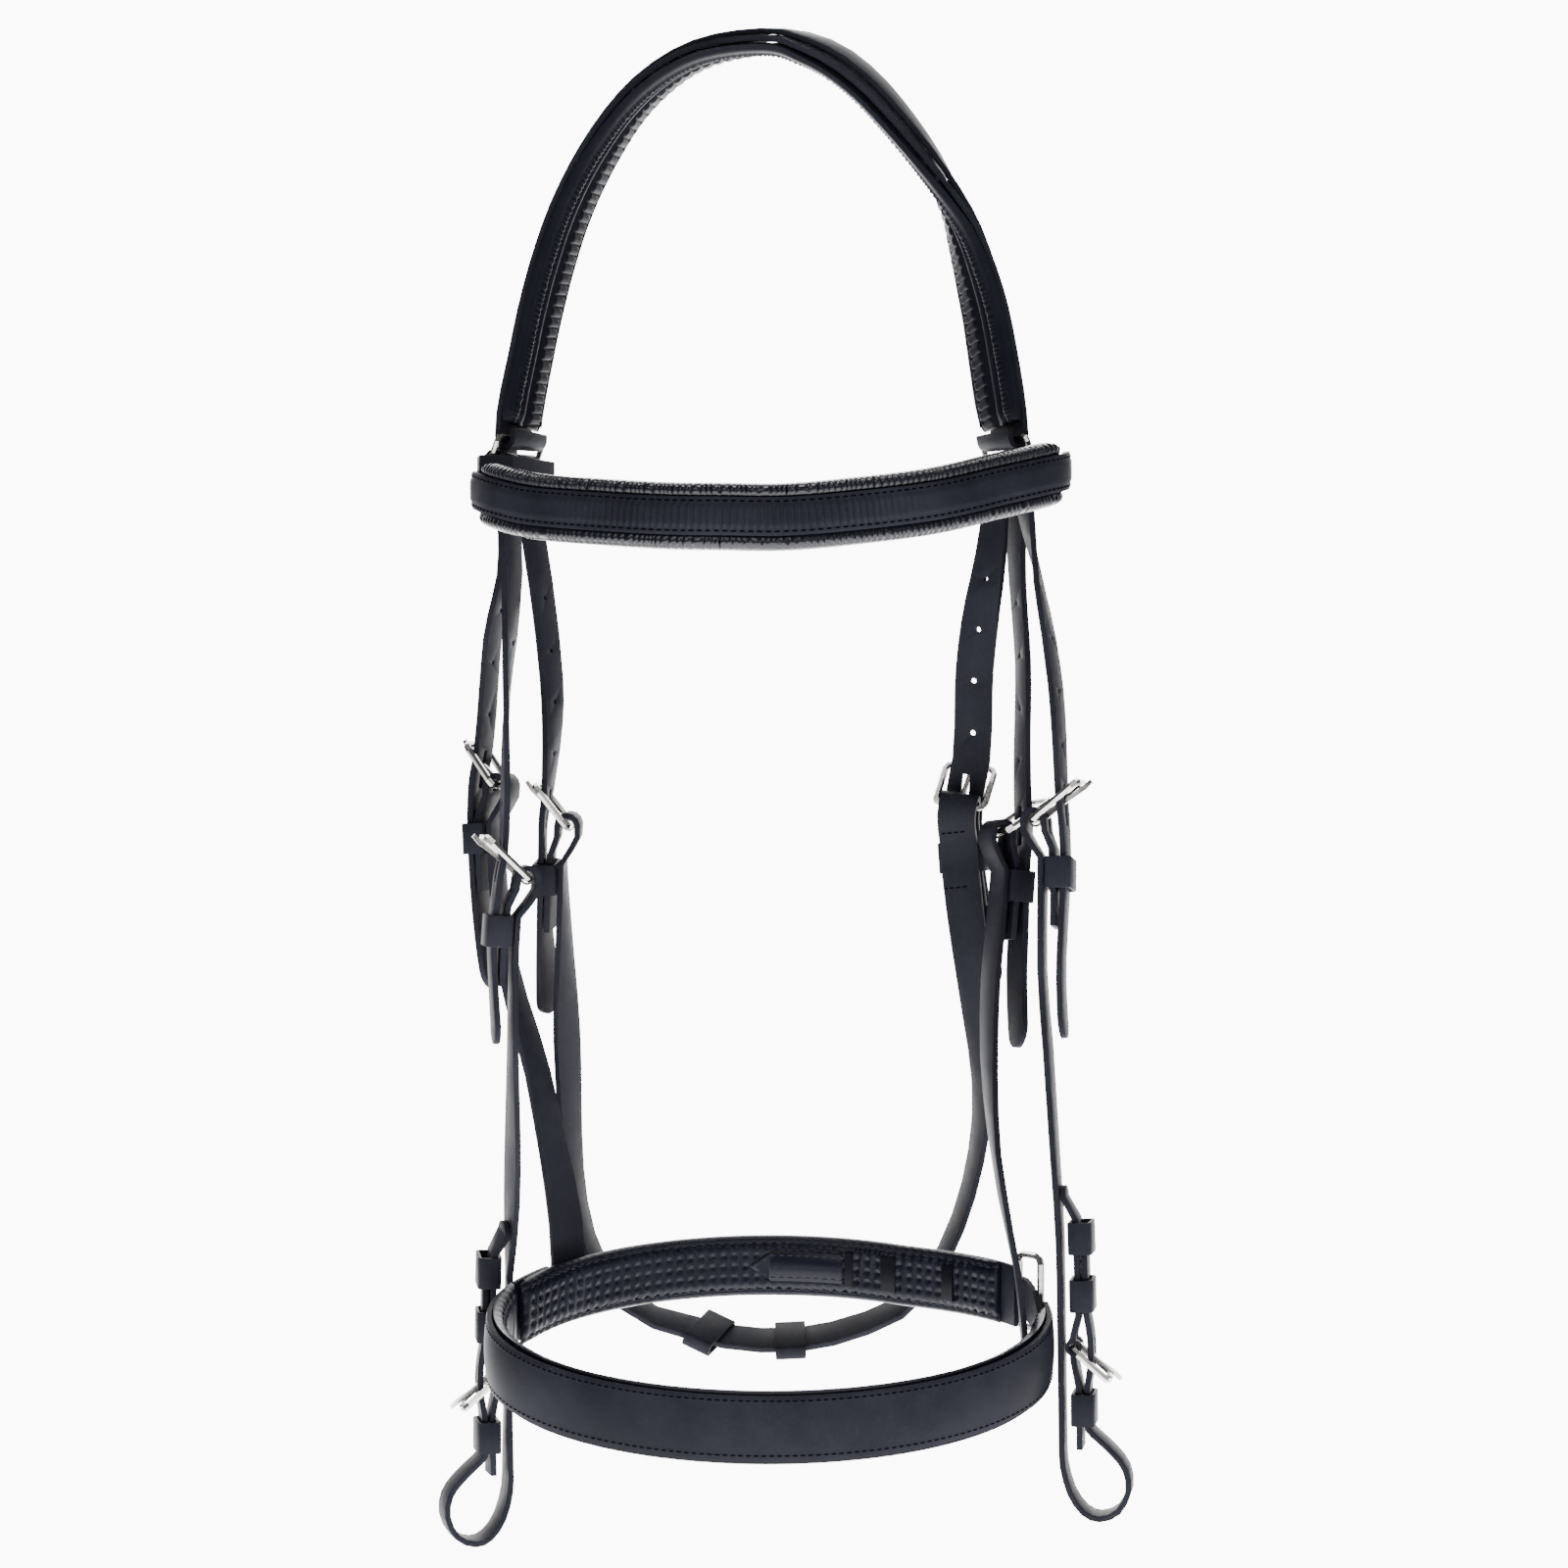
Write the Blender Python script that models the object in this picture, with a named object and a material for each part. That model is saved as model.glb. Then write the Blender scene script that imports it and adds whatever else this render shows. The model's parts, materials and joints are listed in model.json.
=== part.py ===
import math

import bpy
import bmesh
from mathutils import Matrix, Vector

# A padded cavesson bridle without bit or reins, hung by its crown.
# The origin is where the crown hangs: the inner face of the pad, at its highest point.
# -X is the left of the picture, -Y is the front and +Z is up. Lengths are in metres.

# Overall driving sizes
HEAD_HALF = 0.120
HEAD_DROP = 0.600
HEAD_DEPTH = 0.080

# Strap leather
STRAP_WIDTH = 0.016
STRAP_THICK = 0.0024
GAP = 0.0003
HOLE_PITCH = 0.022
HOLE_RADIUS = 0.0012
STATION = 0.016
OVERRUN = 0.004

# Strap buckles
WIRE = 0.0015
SIDE_PLAY = 0.0010
FOLD_PLAY = 0.0015
FOLD_END = 0.044
BAR_OUT = -0.0030
TONGUE_HALF = 0.0010
TONGUE_WALL = 0.0010
TONGUE_OVERRUN = 0.004
SLOT_PLAY = 0.0007
LOOSE_LEG, LOOSE_UPPER, LOOSE_TILT, LOOSE_LENGTH = 0.0053, 0.0094, math.radians(48), 0.024
SNUG_LEG, SNUG_UPPER, SNUG_TILT, SNUG_LENGTH = 0.0053, 0.0085, math.radians(36), 0.021

# Keepers
KEEPER_HEIGHT = 0.013
KEEPER_WALL = 0.0014
KEEPER_PLAY = 0.0008
KEEPER_DROP = 0.022

# Crown
CROWN_WIDTH = 0.036
CROWN_PAD = 0.006
CROWN_OUTER_SHARE = 0.2
CROWN_LEATHER_WIDTH = 0.030
CROWN_END = 0.012
CROWN_STATIONS = 48
SLIP_LIFT = 0.0034
SLIP_BACK = 0.007
SLIP_TAPER = 0.10
SLIP_REACH = 0.0013

# Browband
BROW_HEIGHT = 0.0150
BROW_PAD_HEIGHT = 0.0265
BROW_PAD = 0.0060
BROW_PAD_SETBACK = 0.028
LOOP_HEIGHT = 0.015
LOOP_REACH = 0.025
LOOP_DROP = 0.1745
LOOP_WALL = 0.0014

# Noseband: its half width follows the head's, and its pieces run between angles round it, in degrees
NOSE_SHARE = 0.95
NOSE_HALF = NOSE_SHARE * HEAD_HALF
FRONT_ANGLES = (-125, 97)
FRONT_PAD_ANGLES = (-104, 90)
REAR_ANGLES = (113, 246)
REAR_PAD_ANGLES = (119, 244)
NOSE_HEIGHT = 0.0250
NOSE_PAD_HEIGHT = 0.0285
NOSE_PAD = 0.0060
NOSE_LEATHER = 0.0030
NOSE_REAR = 0.0024
CHIN_PAD = 0.0045
NOSE_TILT = math.radians(15.4)
NOSE_DROP = 0.529
NOSE_SETBACK = -0.035
NOSE_TAIL_OUT = 0.013

# The rear band is drawn up on the right, where a billet from the front band meets it under a buckle
REAR_RISE = 0.0060
REAR_RISE_FROM = 150
BILLET_ANGLES = (91, 131)
BILLET_SHIFT_ANGLES = (97.5, 111)
NOSE_BUCKLE_ANGLE = 112
NOSE_BUCKLE_RISE = 0.0082
NOSE_BUCKLE_LENGTH = 0.016

# Rings between the crown and the cheek and throat straps
RING_WIDTH = 0.043
RING_HEIGHT = 0.0132
RING_WIRE = 0.0012
RING_PLAY = 0.0012
RING_LEAN = math.radians(20)
RING_TAIL = 0.019
TAB_TAIL = 0.0125

# Bit loops: each billet runs round the empty loop and up to its buckle
BIT_DROP = 0.070
BIT_BULGE = 0.027
BIT_TAB_OUT = 0.0072
BIT_BAR_OUT = 0.0049
BIT_EYE = 0.0033
BIT_TILT = math.radians(48)
BIT_LENGTH = 0.019
BIT_TAB_UP = 0.065
BIT_TAB_DOWN = 0.041
BIT_KEEPERS = (0.044, 0.021, -0.025)

# How far below the origin the rings' upper bars lie, and the hanging straps swing
RING_DROP = 0.1589
HINGE_BELOW_RING = 0.0331
HINGE_DROP = RING_DROP + HINGE_BELOW_RING
SWING_GAP = 0.0007

HALF_STRAP = STRAP_WIDTH / 2
KEEPER_HALF = HALF_STRAP + KEEPER_PLAY
FOLD_RADIUS = WIRE + FOLD_PLAY + STRAP_THICK / 2
KEEPER_INNER = STRAP_THICK / 2 + 1.6 * GAP + KEEPER_WALL + KEEPER_PLAY
RING_FOLD = RING_WIRE + RING_PLAY + STRAP_THICK / 2
TONGUE_RING = WIRE + GAP + TONGUE_WALL
CROWN_OUTER = CROWN_OUTER_SHARE * CROWN_PAD
CROWN_FACE = CROWN_OUTER + 2 * GAP + STRAP_THICK / 2


def clear_scene():
    for thing in list(bpy.data.objects):
        bpy.data.objects.remove(thing, do_unlink=True)


def finish_of(name, colour, roughness, metallic=0.0):
    made = bpy.data.materials.get(name)
    if made is None:
        made = bpy.data.materials.new(name)
        made.use_nodes = True
        shader = made.node_tree.nodes["Principled BSDF"]
        shader.inputs["Base Color"].default_value = (*colour, 1.0)
        shader.inputs["Roughness"].default_value = roughness
        shader.inputs["Metallic"].default_value = metallic
    return made


def leather():
    return finish_of("leather", (0.022, 0.024, 0.032), 0.42)


def lining():
    return finish_of("lining", (0.010, 0.011, 0.015), 0.25)


def nickel():
    return finish_of("nickel", (0.66, 0.65, 0.62), 0.2, 1.0)


def add_object(name, mesh, material):
    made = bpy.data.objects.new(name, mesh)
    bpy.context.scene.collection.objects.link(made)
    mesh.materials.clear()
    mesh.materials.append(material)
    return made


def loft(name, rings, material, closed=False):
    """A solid through a row of rings of points, capped unless it closes on itself."""
    mesh = bpy.data.meshes.new(name)
    work = bmesh.new()
    rows = [[work.verts.new(point) for point in ring] for ring in rings]
    count = len(rows[0])
    spans = list(zip(rows, rows[1:]))
    if closed:
        spans.append((rows[-1], rows[0]))
    for first, second in spans:
        for i in range(count):
            j = (i + 1) % count
            # Opposite faces are split along the same line, so that twisted layers lie flat on each other.
            if 2 * i < count:
                work.faces.new((first[i], first[j], second[j]))
                work.faces.new((first[i], second[j], second[i]))
            else:
                work.faces.new((first[i], first[j], second[i]))
                work.faces.new((first[j], second[j], second[i]))
    if not closed:
        work.faces.new(list(reversed(rows[0])))
        work.faces.new(rows[-1])
    bmesh.ops.recalc_face_normals(work, faces=work.faces)
    work.to_mesh(mesh)
    work.free()
    return add_object(name, mesh, material)


def apply_boolean(target, other, operation):
    """Cuts or joins target with other, and removes other."""
    step = target.modifiers.new(operation.lower(), "BOOLEAN")
    step.operation = operation
    step.solver = "EXACT"
    step.object = other
    bpy.context.view_layer.update()
    graph = bpy.context.evaluated_depsgraph_get()
    mesh = bpy.data.meshes.new_from_object(target.evaluated_get(graph))
    material = target.data.materials[0]
    target.modifiers.remove(step)
    target.data = mesh
    mesh.materials.clear()
    mesh.materials.append(material)
    bpy.data.objects.remove(other, do_unlink=True)


def smooth_curve(points, steps):
    """Catmull-Rom points through hand-chosen tuples of any length, steps to a span."""
    made = []
    last = len(points) - 1
    for i in range(last):
        before = points[max(i - 1, 0)]
        start, end = points[i], points[i + 1]
        after = points[min(i + 2, last)]
        for k in range(steps):
            t = k / steps
            made.append(tuple(
                0.5 * (2 * b + (c - a) * t + (2 * a - 5 * b + 4 * c - d) * t * t
                       + (3 * b - a - 3 * c + d) * t ** 3)
                for a, b, c, d in zip(before, start, end, after)))
    made.append(tuple(points[last]))
    return made


def even(rows, step=STATION):
    """The same rows with places at most a step apart, the first two values being the place."""
    made = [rows[0]]
    for a, b in zip(rows, rows[1:]):
        count = max(1, math.ceil(math.dist(a[:2], b[:2]) / step))
        made += [tuple(p + (q - p) * k / count for p, q in zip(a, b)) for k in range(1, count + 1)]
    return made


class Lane:
    """A line that straps follow, with a frame at each length along it.

    Points are shares of the half width, depth and drop, and the turn in degrees of the outer face
    towards the front. side is 1 where the lane runs down the +X side, and -1 down the -X side.
    """

    def __init__(self, points, side, steps=10):
        dense = smooth_curve(points, steps)
        self.side = side
        self.places = [Vector((x * HEAD_HALF, y * HEAD_DEPTH, -z * HEAD_DROP)) for x, y, z, turn in dense]
        self.turns = [math.radians(turn) for x, y, z, turn in dense]
        self.lengths = [0.0]
        for a, b in zip(self.places, self.places[1:]):
            self.lengths.append(self.lengths[-1] + (b - a).length)
        self.length = self.lengths[-1]

    def locate(self, s):
        s = min(max(s, 0.0), self.length)
        i = 0
        while s > self.lengths[i + 1]:
            i += 1
        return i, (s - self.lengths[i]) / (self.lengths[i + 1] - self.lengths[i])

    def place(self, s):
        i, t = self.locate(s)
        return self.places[i].lerp(self.places[i + 1], t)

    def frame(self, s):
        """Columns across, up and out at s, with its place. Past an end the lane runs on straight."""
        i, t = self.locate(s)
        reach = STATION / 4
        inside = min(max(s, reach), self.length - reach)
        tangent = (self.place(inside + reach) - self.place(inside - reach)).normalized()
        turn = self.turns[i] * (1 - t) + self.turns[i + 1] * t
        flat = (tangent.cross(Vector((0, 1, 0))) * self.side).normalized()
        back = (Vector((0, 1, 0)) - tangent * tangent.y).normalized()
        out = (flat * math.cos(turn) - back * math.sin(turn)).normalized()
        up = -tangent
        made = Matrix((up.cross(out).normalized(), up, out)).transposed().to_4x4()
        past = s - min(max(s, 0.0), self.length)
        made.translation = self.place(s) + tangent * past
        return made

    def at_drop(self, drop):
        """The length at which the lane first lies this far below the origin."""
        for i, (a, b) in enumerate(zip(self.places, self.places[1:])):
            if (a.z + drop) * (b.z + drop) <= 0 and a.z != b.z:
                return self.lengths[i] + (self.lengths[i + 1] - self.lengths[i]) * (a.z + drop) / (a.z - b.z)
        return self.length


# Where the lanes run: shares of the half width, the depth and the drop, and the outer face's turn.
crown_shares = [
    (-0.865, 0.03, 0.322, -22), (-0.865, 0.00, 0.290, -22), (-0.865, -0.016, 0.268, -22),
    (-0.862, -0.014, 0.252, -22), (-0.850, -0.01, 0.235, -21), (-0.823, 0.00, 0.208, -20),
    (-0.792, 0.00, 0.178, -20), (-0.745, 0.00, 0.142, -19), (-0.683, 0.00, 0.106, -17),
    (-0.594, 0.00, 0.070, -14), (-0.468, 0.00, 0.034, -8), (-0.330, 0.00, 0.010, -2),
    (-0.187, 0.00, -0.003, 4), (0.000, 0.00, -0.0083, 10), (0.120, 0.00, -0.0045, 19),
    (0.232, 0.00, 0.0054, 23), (0.3355, 0.00, 0.0223, 22), (0.4273, 0.00, 0.0432, 19),
    (0.5276, 0.00, 0.0702, 13), (0.6180, 0.00, 0.1009, 1), (0.6725, 0.00, 0.1263, -12),
    (0.7125, 0.00, 0.1525, -19), (0.7450, 0.00, 0.1787, -23), (0.7680, 0.00, 0.205, -25),
    (0.786, -0.01, 0.228, -26), (0.802, -0.014, 0.249, -25), (0.813, -0.016, 0.268, -22),
    (0.814, 0.00, 0.290, -22), (0.814, 0.03, 0.322, -22),
]
noseband_left_shares = [
    (-0.911, 0.137, 0.300, -22), (-0.911, 0.137, 0.320, -22), (-0.904, 0.140, 0.340, -20),
    (-0.906, 0.150, 0.361, -18), (-0.924, 0.170, 0.381, -17), (-0.940, 0.190, 0.402, -17),
    (-0.950, 0.230, 0.445, -18), (-0.960, 0.250, 0.480, -18), (-0.964, 0.255, 0.505, -17),
    (-0.962, 0.255, 0.540, -16), (-0.944, 0.255, 0.593, -18), (-0.908, 0.255, 0.641, -24),
    (-0.825, 0.250, 0.697, -30), (-0.773, 0.250, 0.746, -36), (-0.746, 0.255, 0.774, -42),
    (-0.722, 0.268, 0.802, -50), (-0.710, 0.281, 0.830, -53), (-0.709, 0.296, 0.862, -53),
]
noseband_right_shares = [
    (0.860, 0.137, 0.300, -22), (0.860, 0.137, 0.320, -22), (0.852, 0.130, 0.345, -17),
    (0.848, 0.120, 0.372, -14), (0.849, 0.115, 0.402, -13), (0.847, 0.105, 0.430, -13),
    (0.836, 0.085, 0.470, -14), (0.826, 0.060, 0.520, -16), (0.803, 0.035, 0.555, -18),
    (0.785, 0.000, 0.598, -20), (0.765, -0.050, 0.635, -20), (0.755, -0.150, 0.680, -18),
    (0.758, -0.260, 0.718, -12), (0.772, -0.350, 0.755, -5), (0.798, -0.410, 0.790, -4),
    (0.828, -0.435, 0.820, 0), (0.850, -0.435, 0.845, 0), (0.867, -0.435, 0.885, 0),
]
cheek_left_shares = [
    (-0.920, -0.110, 0.2817, -24), (-0.905, -0.130, 0.310, -26), (-0.872, -0.175, 0.350, -22),
    (-0.861, -0.225, 0.396, -12), (-0.860, -0.275, 0.436, 0), (-0.857, -0.300, 0.476, 8),
    (-0.853, -0.312, 0.523, 11), (-0.853, -0.312, 0.568, 11), (-0.868, -0.312, 0.605, 11),
    (-0.875, -0.310, 0.640, 11), (-0.878, -0.260, 0.693, 14), (-0.885, -0.100, 0.742, 20),
    (-0.893, 0.025, 0.778, 22), (-0.900, 0.085, 0.812, 18), (-0.908, 0.113, 0.845, 8),
    (-0.912, 0.125, 0.900, 8), (-0.913, 0.125, 0.950, 11), (-0.913, 0.125, 0.985, 14),
    (-0.913, 0.125, 1.030, 16),
]
cheek_right_shares = [
    (0.870, -0.110, 0.2817, -24), (0.878, -0.130, 0.315, -14), (0.890, -0.155, 0.342, -2),
    (0.904, -0.175, 0.368, 12), (0.925, -0.225, 0.406, 18), (0.942, -0.250, 0.446, 19),
    (0.946, -0.275, 0.493, 17), (0.936, -0.275, 0.528, 14), (0.934, -0.300, 0.563, 12),
    (0.930, -0.338, 0.597, 11), (0.930, -0.375, 0.637, 11), (0.950, -0.412, 0.691, 12),
    (0.970, -0.450, 0.759, 11), (0.983, -0.475, 0.802, 10), (0.989, -0.475, 0.848, 9),
    (0.993, -0.475, 0.895, 9), (0.995, -0.475, 0.940, 9),
]
throat_shares = [
    (-0.858, 0.110, 0.2817, -24), (-0.845, 0.110, 0.305, -26), (-0.815, 0.110, 0.335, -28),
    (-0.775, 0.100, 0.372, -28), (-0.742, 0.090, 0.410, -27), (-0.722, 0.080, 0.445, -25),
    (-0.720, 0.080, 0.480, -16), (-0.726, 0.085, 0.515, -6), (-0.722, 0.100, 0.545, -2),
    (-0.720, 0.140, 0.585, -8), (-0.718, 0.230, 0.635, -22), (-0.716, 0.320, 0.670, -33),
    (-0.712, 0.390, 0.705, -33), (-0.706, 0.490, 0.752, -26), (-0.682, 0.590, 0.802, -18),
    (-0.615, 0.680, 0.848, -17), (-0.480, 0.740, 0.880, -20), (-0.320, 0.765, 0.892, -24),
    (-0.120, 0.775, 0.902, -25), (0.110, 0.775, 0.903, -25), (0.300, 0.765, 0.894, -24),
    (0.470, 0.735, 0.879, -20), (0.600, 0.680, 0.848, -16), (0.690, 0.600, 0.805, -15),
    (0.742, 0.490, 0.755, -18), (0.752, 0.400, 0.708, -28), (0.722, 0.330, 0.648, -50),
    (0.685, 0.300, 0.590, -68), (0.664, 0.300, 0.545, -74), (0.674, 0.290, 0.512, -78),
    (0.700, 0.275, 0.488, -80), (0.708, 0.260, 0.465, -80), (0.709, 0.240, 0.442, -80),
    (0.712, 0.220, 0.422, -78), (0.719, 0.190, 0.402, -72), (0.730, 0.165, 0.381, -62),
    (0.748, 0.140, 0.361, -52), (0.775, 0.120, 0.332, -40), (0.792, 0.110, 0.308, -32),
    (0.806, 0.110, 0.2817, -24),
]
brow_shares = [
    (-1.000, 0.06, 0.299), (-1.006, -0.18, 0.301), (-0.988, -0.33, 0.304), (-0.925, -0.53, 0.310),
    (-0.790, -0.76, 0.318), (-0.560, -1.02, 0.324), (-0.345, -1.20, 0.328), (-0.150, -1.30, 0.3295),
    (0.048, -1.325, 0.330), (0.262, -1.25, 0.326), (0.543, -1.02, 0.317), (0.780, -0.73, 0.304),
    (0.935, -0.50, 0.295), (1.000, -0.33, 0.2905), (1.018, -0.15, 0.287), (1.016, 0.06, 0.285),
]

# The browband loops' inner outline about the ring's lower bar, as shares of LOOP_REACH: to the rear, and outwards.
loop_left_shares = [
    (-0.94, -0.10), (-0.72, -0.31), (0.74, -0.34), (0.96, -0.10), (0.94, 0.08), (0.69, 0.375), (0.05, 0.375),
    (-0.72, 0.235), (-0.94, 0.08),
]
loop_right_shares = [
    (-0.94, -0.10), (-0.72, -0.22), (0.30, -0.22), (0.74, -0.29), (0.96, -0.10), (0.94, 0.08), (0.60, 0.54),
    (-0.08, 0.62), (-0.72, 0.50), (-0.94, 0.08),
]

# A billet's way round its empty bit loop, as shares of its length and its width
bit_loop_shares = [
    (-0.30, 0.00), (-0.52, 0.00), (-0.68, 0.01), (-0.84, 0.12), (-0.95, 0.32), (-0.985, 0.56),
    (-0.94, 0.84), (-0.82, 0.99), (-0.70, 0.95), (-0.61, 0.78), (-0.53, 0.56), (-0.47, 0.40),
    (-0.40, 0.38), (-0.22, 0.39), (-0.10, 0.44), (0.05, 0.44), (0.18, 0.39),
]

# The throat latch's loose keepers: the share of its length, how many degrees askew, and the share of the width
SLIDE_SHARES = {"left": (0.470, 20, 1.35), "right": (0.511, 0, 1.12)}

# How far below the origin each buckle's bar lies, with the drop from the bar to the tail's end
BIT_DROPS = {"left": 0.549, "right": 0.530}
BUCKLE_DROPS = {
    "noseband_left": (0.3025, 0.084), "throat_left": (0.319, 0.083), "cheek_left": (0.3405, 0.068),
    "throat_right": (0.311, 0.080), "noseband_right": (0.3225, 0.089), "cheek_right": (0.317, 0.090),
}


def strap(name, lane, start, rows, material, half=HALF_STRAP, thick=STRAP_THICK, shifts=None):
    """A flat strap along rows of (up, out, share of the half width) from the lane's frame at start.

    Shifts, where given, move each row across the lane.
    """
    frames = [lane.frame(start - up) for up, out, share in rows]
    across_by = shifts or [0.0] * len(rows)
    places = [frame @ Vector((by, 0, row[1])) for frame, row, by in zip(frames, rows, across_by)]
    rings = []
    last = len(rows) - 1
    for i, (place, frame) in enumerate(zip(places, frames)):
        along = (places[min(i + 1, last)] - places[max(i - 1, 0)]).normalized()
        across = frame.col[0].to_3d()
        across = (across - along * across.dot(along)).normalized()
        w, t = across * half * rows[i][2], across.cross(along).normalized() * thick / 2
        rings.append([place - w - t, place + w - t, place + w + t, place - w + t])
    return loft(name, rings, material)


def prism(name, outline, frame, half, material):
    """An outline of (up, out) points in a frame, as wide as half on both sides."""
    rings = [[frame @ Vector((w, up, out)) for up, out in outline] for w in (-half, half)]
    return loft(name, rings, material)


def circle(radius, sides):
    return [(radius * math.cos(2 * math.pi * i / sides), radius * math.sin(2 * math.pi * i / sides))
            for i in range(sides)]


def arc(radius, centre, degrees):
    """Points (up, out) round a centre, the angle counted from the inner side over the top."""
    return [(centre[0] + radius * math.sin(math.radians(d)), centre[1] - radius * math.cos(math.radians(d)))
            for d in degrees]


def punch(target, lane, start, ups, out_of):
    """Round holes through a strap at the given places up the lane."""
    for up in ups:
        frame = lane.frame(start - up) @ Matrix.Translation((0, 0, out_of(up)))
        rings = [[frame @ Vector((x, y, depth)) for x, y in circle(HOLE_RADIUS, 8)]
                 for depth in (-OVERRUN, OVERRUN)]
        apply_boolean(target, loft("hole", rings, leather()), "DIFFERENCE")


def corner_rays(bend):
    """The corners of a rectangle in turn: the side signs, and the ray of each point on the rounding."""
    for sign_a, sign_b, begin in ((1, 1, 0), (-1, 1, 90), (-1, -1, 180), (1, -1, 270)):
        for k in range(bend + 1):
            a = math.radians(begin + 90 * k / bend)
            yield sign_a, sign_b, math.cos(a), math.sin(a)


def wire_ring(name, frame, half_wide, half_long, wire, material, corner, sides=6):
    """A closed rectangular loop of round wire in a frame's across and up plane, round its middle."""
    rings = []
    for sign_a, sign_b, x, y in corner_rays(2):
        ray = Vector((x, y, 0))
        middle = Vector((sign_a * (half_wide - corner), sign_b * (half_long - corner), 0)) + ray * corner
        rings.append([frame @ (middle + ray * a + Vector((0, 0, b))) for a, b in circle(wire, sides)])
    return loft(name, rings, material, closed=True)


def box_ring(name, frame, half_wide, inner, outer, wall, height, material, corner):
    """A flat strap bent into a closed rectangle in a frame's across and out plane."""
    rings = []
    middle, half_out = (inner + outer) / 2, (outer - inner) / 2
    rise = Vector((0, height / 2, 0))
    for sign_a, sign_b, x, z in corner_rays(2):
        ray = Vector((x, 0, z))
        near = Vector((sign_a * (half_wide - corner), 0, middle + sign_b * (half_out - corner))) + ray * corner
        far = near + ray * wall
        rings.append([frame @ p for p in (near - rise, far - rise, far + rise, near + rise)])
    return loft(name, rings, material, closed=True)


def keeper(name, lane, s, inner, outer, half=KEEPER_HALF):
    """A leather loop round the straps, from the inner to the outer face of the stack."""
    return box_ring(name, lane.frame(s), half, inner - KEEPER_PLAY, outer + KEEPER_PLAY, KEEPER_WALL,
                    KEEPER_HEIGHT, leather(), KEEPER_PLAY)


def fold_rows(bar_out, leg_out, fold_end, radius):
    """A strap's way up to a bar, round it, and down its outer side to the stitched end."""
    path = [(-0.62 * fold_end, 0.0), (-0.36 * fold_end, 0.0), (-2.2 * radius, 0.6 * (bar_out - radius))]
    path += [(-1.1 * radius, 0.96 * (bar_out - radius))]
    path += arc(radius, (0.0, bar_out), (0, 30, 60, 90, 120, 150, 180))
    path += [(-1.1 * radius, bar_out + 1.12 * radius), (-2.8 * radius, 0.85 * leg_out)]
    path += [(-0.62 * fold_end, leg_out), (-fold_end, leg_out)]
    return [(up, out, 1.0) for up, out in path]


def rounded_end(length):
    """(distance back from the tip, share of the half width) for a strap's half-round end."""
    return [(length - length * r, max(0.12, math.sqrt(1 - r * r))) for r in (0.99, 0.90, 0.70, 0.40)]


def bar_frame(lane, start, bar_out, tilt):
    """The buckle's own frame: its middle on the bar, up towards the far rail, out to the tongue's side."""
    return lane.frame(start) @ Matrix.Translation((0, 0, bar_out)) @ Matrix.Rotation(tilt, 4, "X")


def buckle(name, bar, length):
    """A rectangular wire frame, whose near rail is the bar, and the tongue that turns on it."""
    middle = bar @ Matrix.Translation((0, length / 2, 0))
    half_wide = HALF_STRAP + SIDE_PLAY + WIRE
    wire_ring(f"{name}_buckle", middle, half_wide, length / 2, WIRE, nickel(), 2 * WIRE)
    lift = WIRE + TONGUE_HALF + GAP
    reach = length + TONGUE_OVERRUN
    outline = arc(TONGUE_RING, (0.0, 0.0), range(190, 431, 24)) + [
        (0.60 * length, lift - 1.6 * TONGUE_HALF),
        (length - WIRE, lift - TONGUE_HALF),
        (reach, lift - TONGUE_HALF),
        (reach, lift + 0.6 * TONGUE_HALF),
        (length, lift + TONGUE_HALF),
        (0.60 * length, lift),
    ]
    tongue = prism(f"{name}_tongue", outline, bar, TONGUE_HALF, nickel())
    bore = prism("bore", circle(WIRE + GAP, 12), bar, TONGUE_HALF + OVERRUN, nickel())
    apply_boolean(tongue, bore, "DIFFERENCE")
    tongue.data.transform(bar.inverted())
    tongue.matrix_world = bar


def cut_slot(target, bar, low, high):
    """A slot as wide as the tongue with its play, between two (up, out) corners in the bar's frame."""
    outline = [(low[0], low[1]), (high[0], low[1]), (high[0], high[1]), (low[0], high[1])]
    apply_boolean(target, prism("slot", outline, bar, TONGUE_HALF + SLOT_PLAY, leather()), "DIFFERENCE")


def cut_fold_slot(target, bar):
    far = FOLD_RADIUS + STRAP_THICK
    cut_slot(target, bar, (0.0, -0.3 * far), (1.3 * far, 1.3 * far))


def cut_strap_slot(target, bar, length):
    cut_slot(target, bar, (0.16 * length, -0.16 * length), (0.78 * length, 0.42 * length))


def upper_strap(name, lane, start, tail, stack, top_rows, tail_out=None):
    """The punched strap, over the fold and through the keeper, to its tail.

    top_rows are the (up, out, share of width) of its upper end, counted from the bar.
    """
    leg, out, tilt, length = stack
    last = out if tail_out is None else tail_out
    top = top_rows[-1]
    body = [(0.55 * top[0], 0.45 * out, 1.0), (0.8 * length, 0.66 * out, 1.0),
            (0.0, 0.92 * out, 1.0), (-KEEPER_DROP, out, 1.0),
            (-0.5 * (KEEPER_DROP + tail), 0.4 * out + 0.6 * last, 1.0), (-tail + HALF_STRAP, last, 1.0)]
    ends = [(-tail + back, last, share) for back, share in reversed(rounded_end(HALF_STRAP))]
    rows = list(top_rows) + even(smooth_curve([top] + body, 3))[1:] + ends
    made = strap(name, lane, start, rows, leather())

    def out_of(up):
        return min(rows, key=lambda row: abs(row[0] - up))[1]

    first = 0.36 * length + HOLE_PITCH
    punch(made, lane, start, [first + k * HOLE_PITCH for k in range(4)], out_of)
    cut_strap_slot(made, bar_frame(lane, start, BAR_OUT, tilt), length)
    return made


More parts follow.
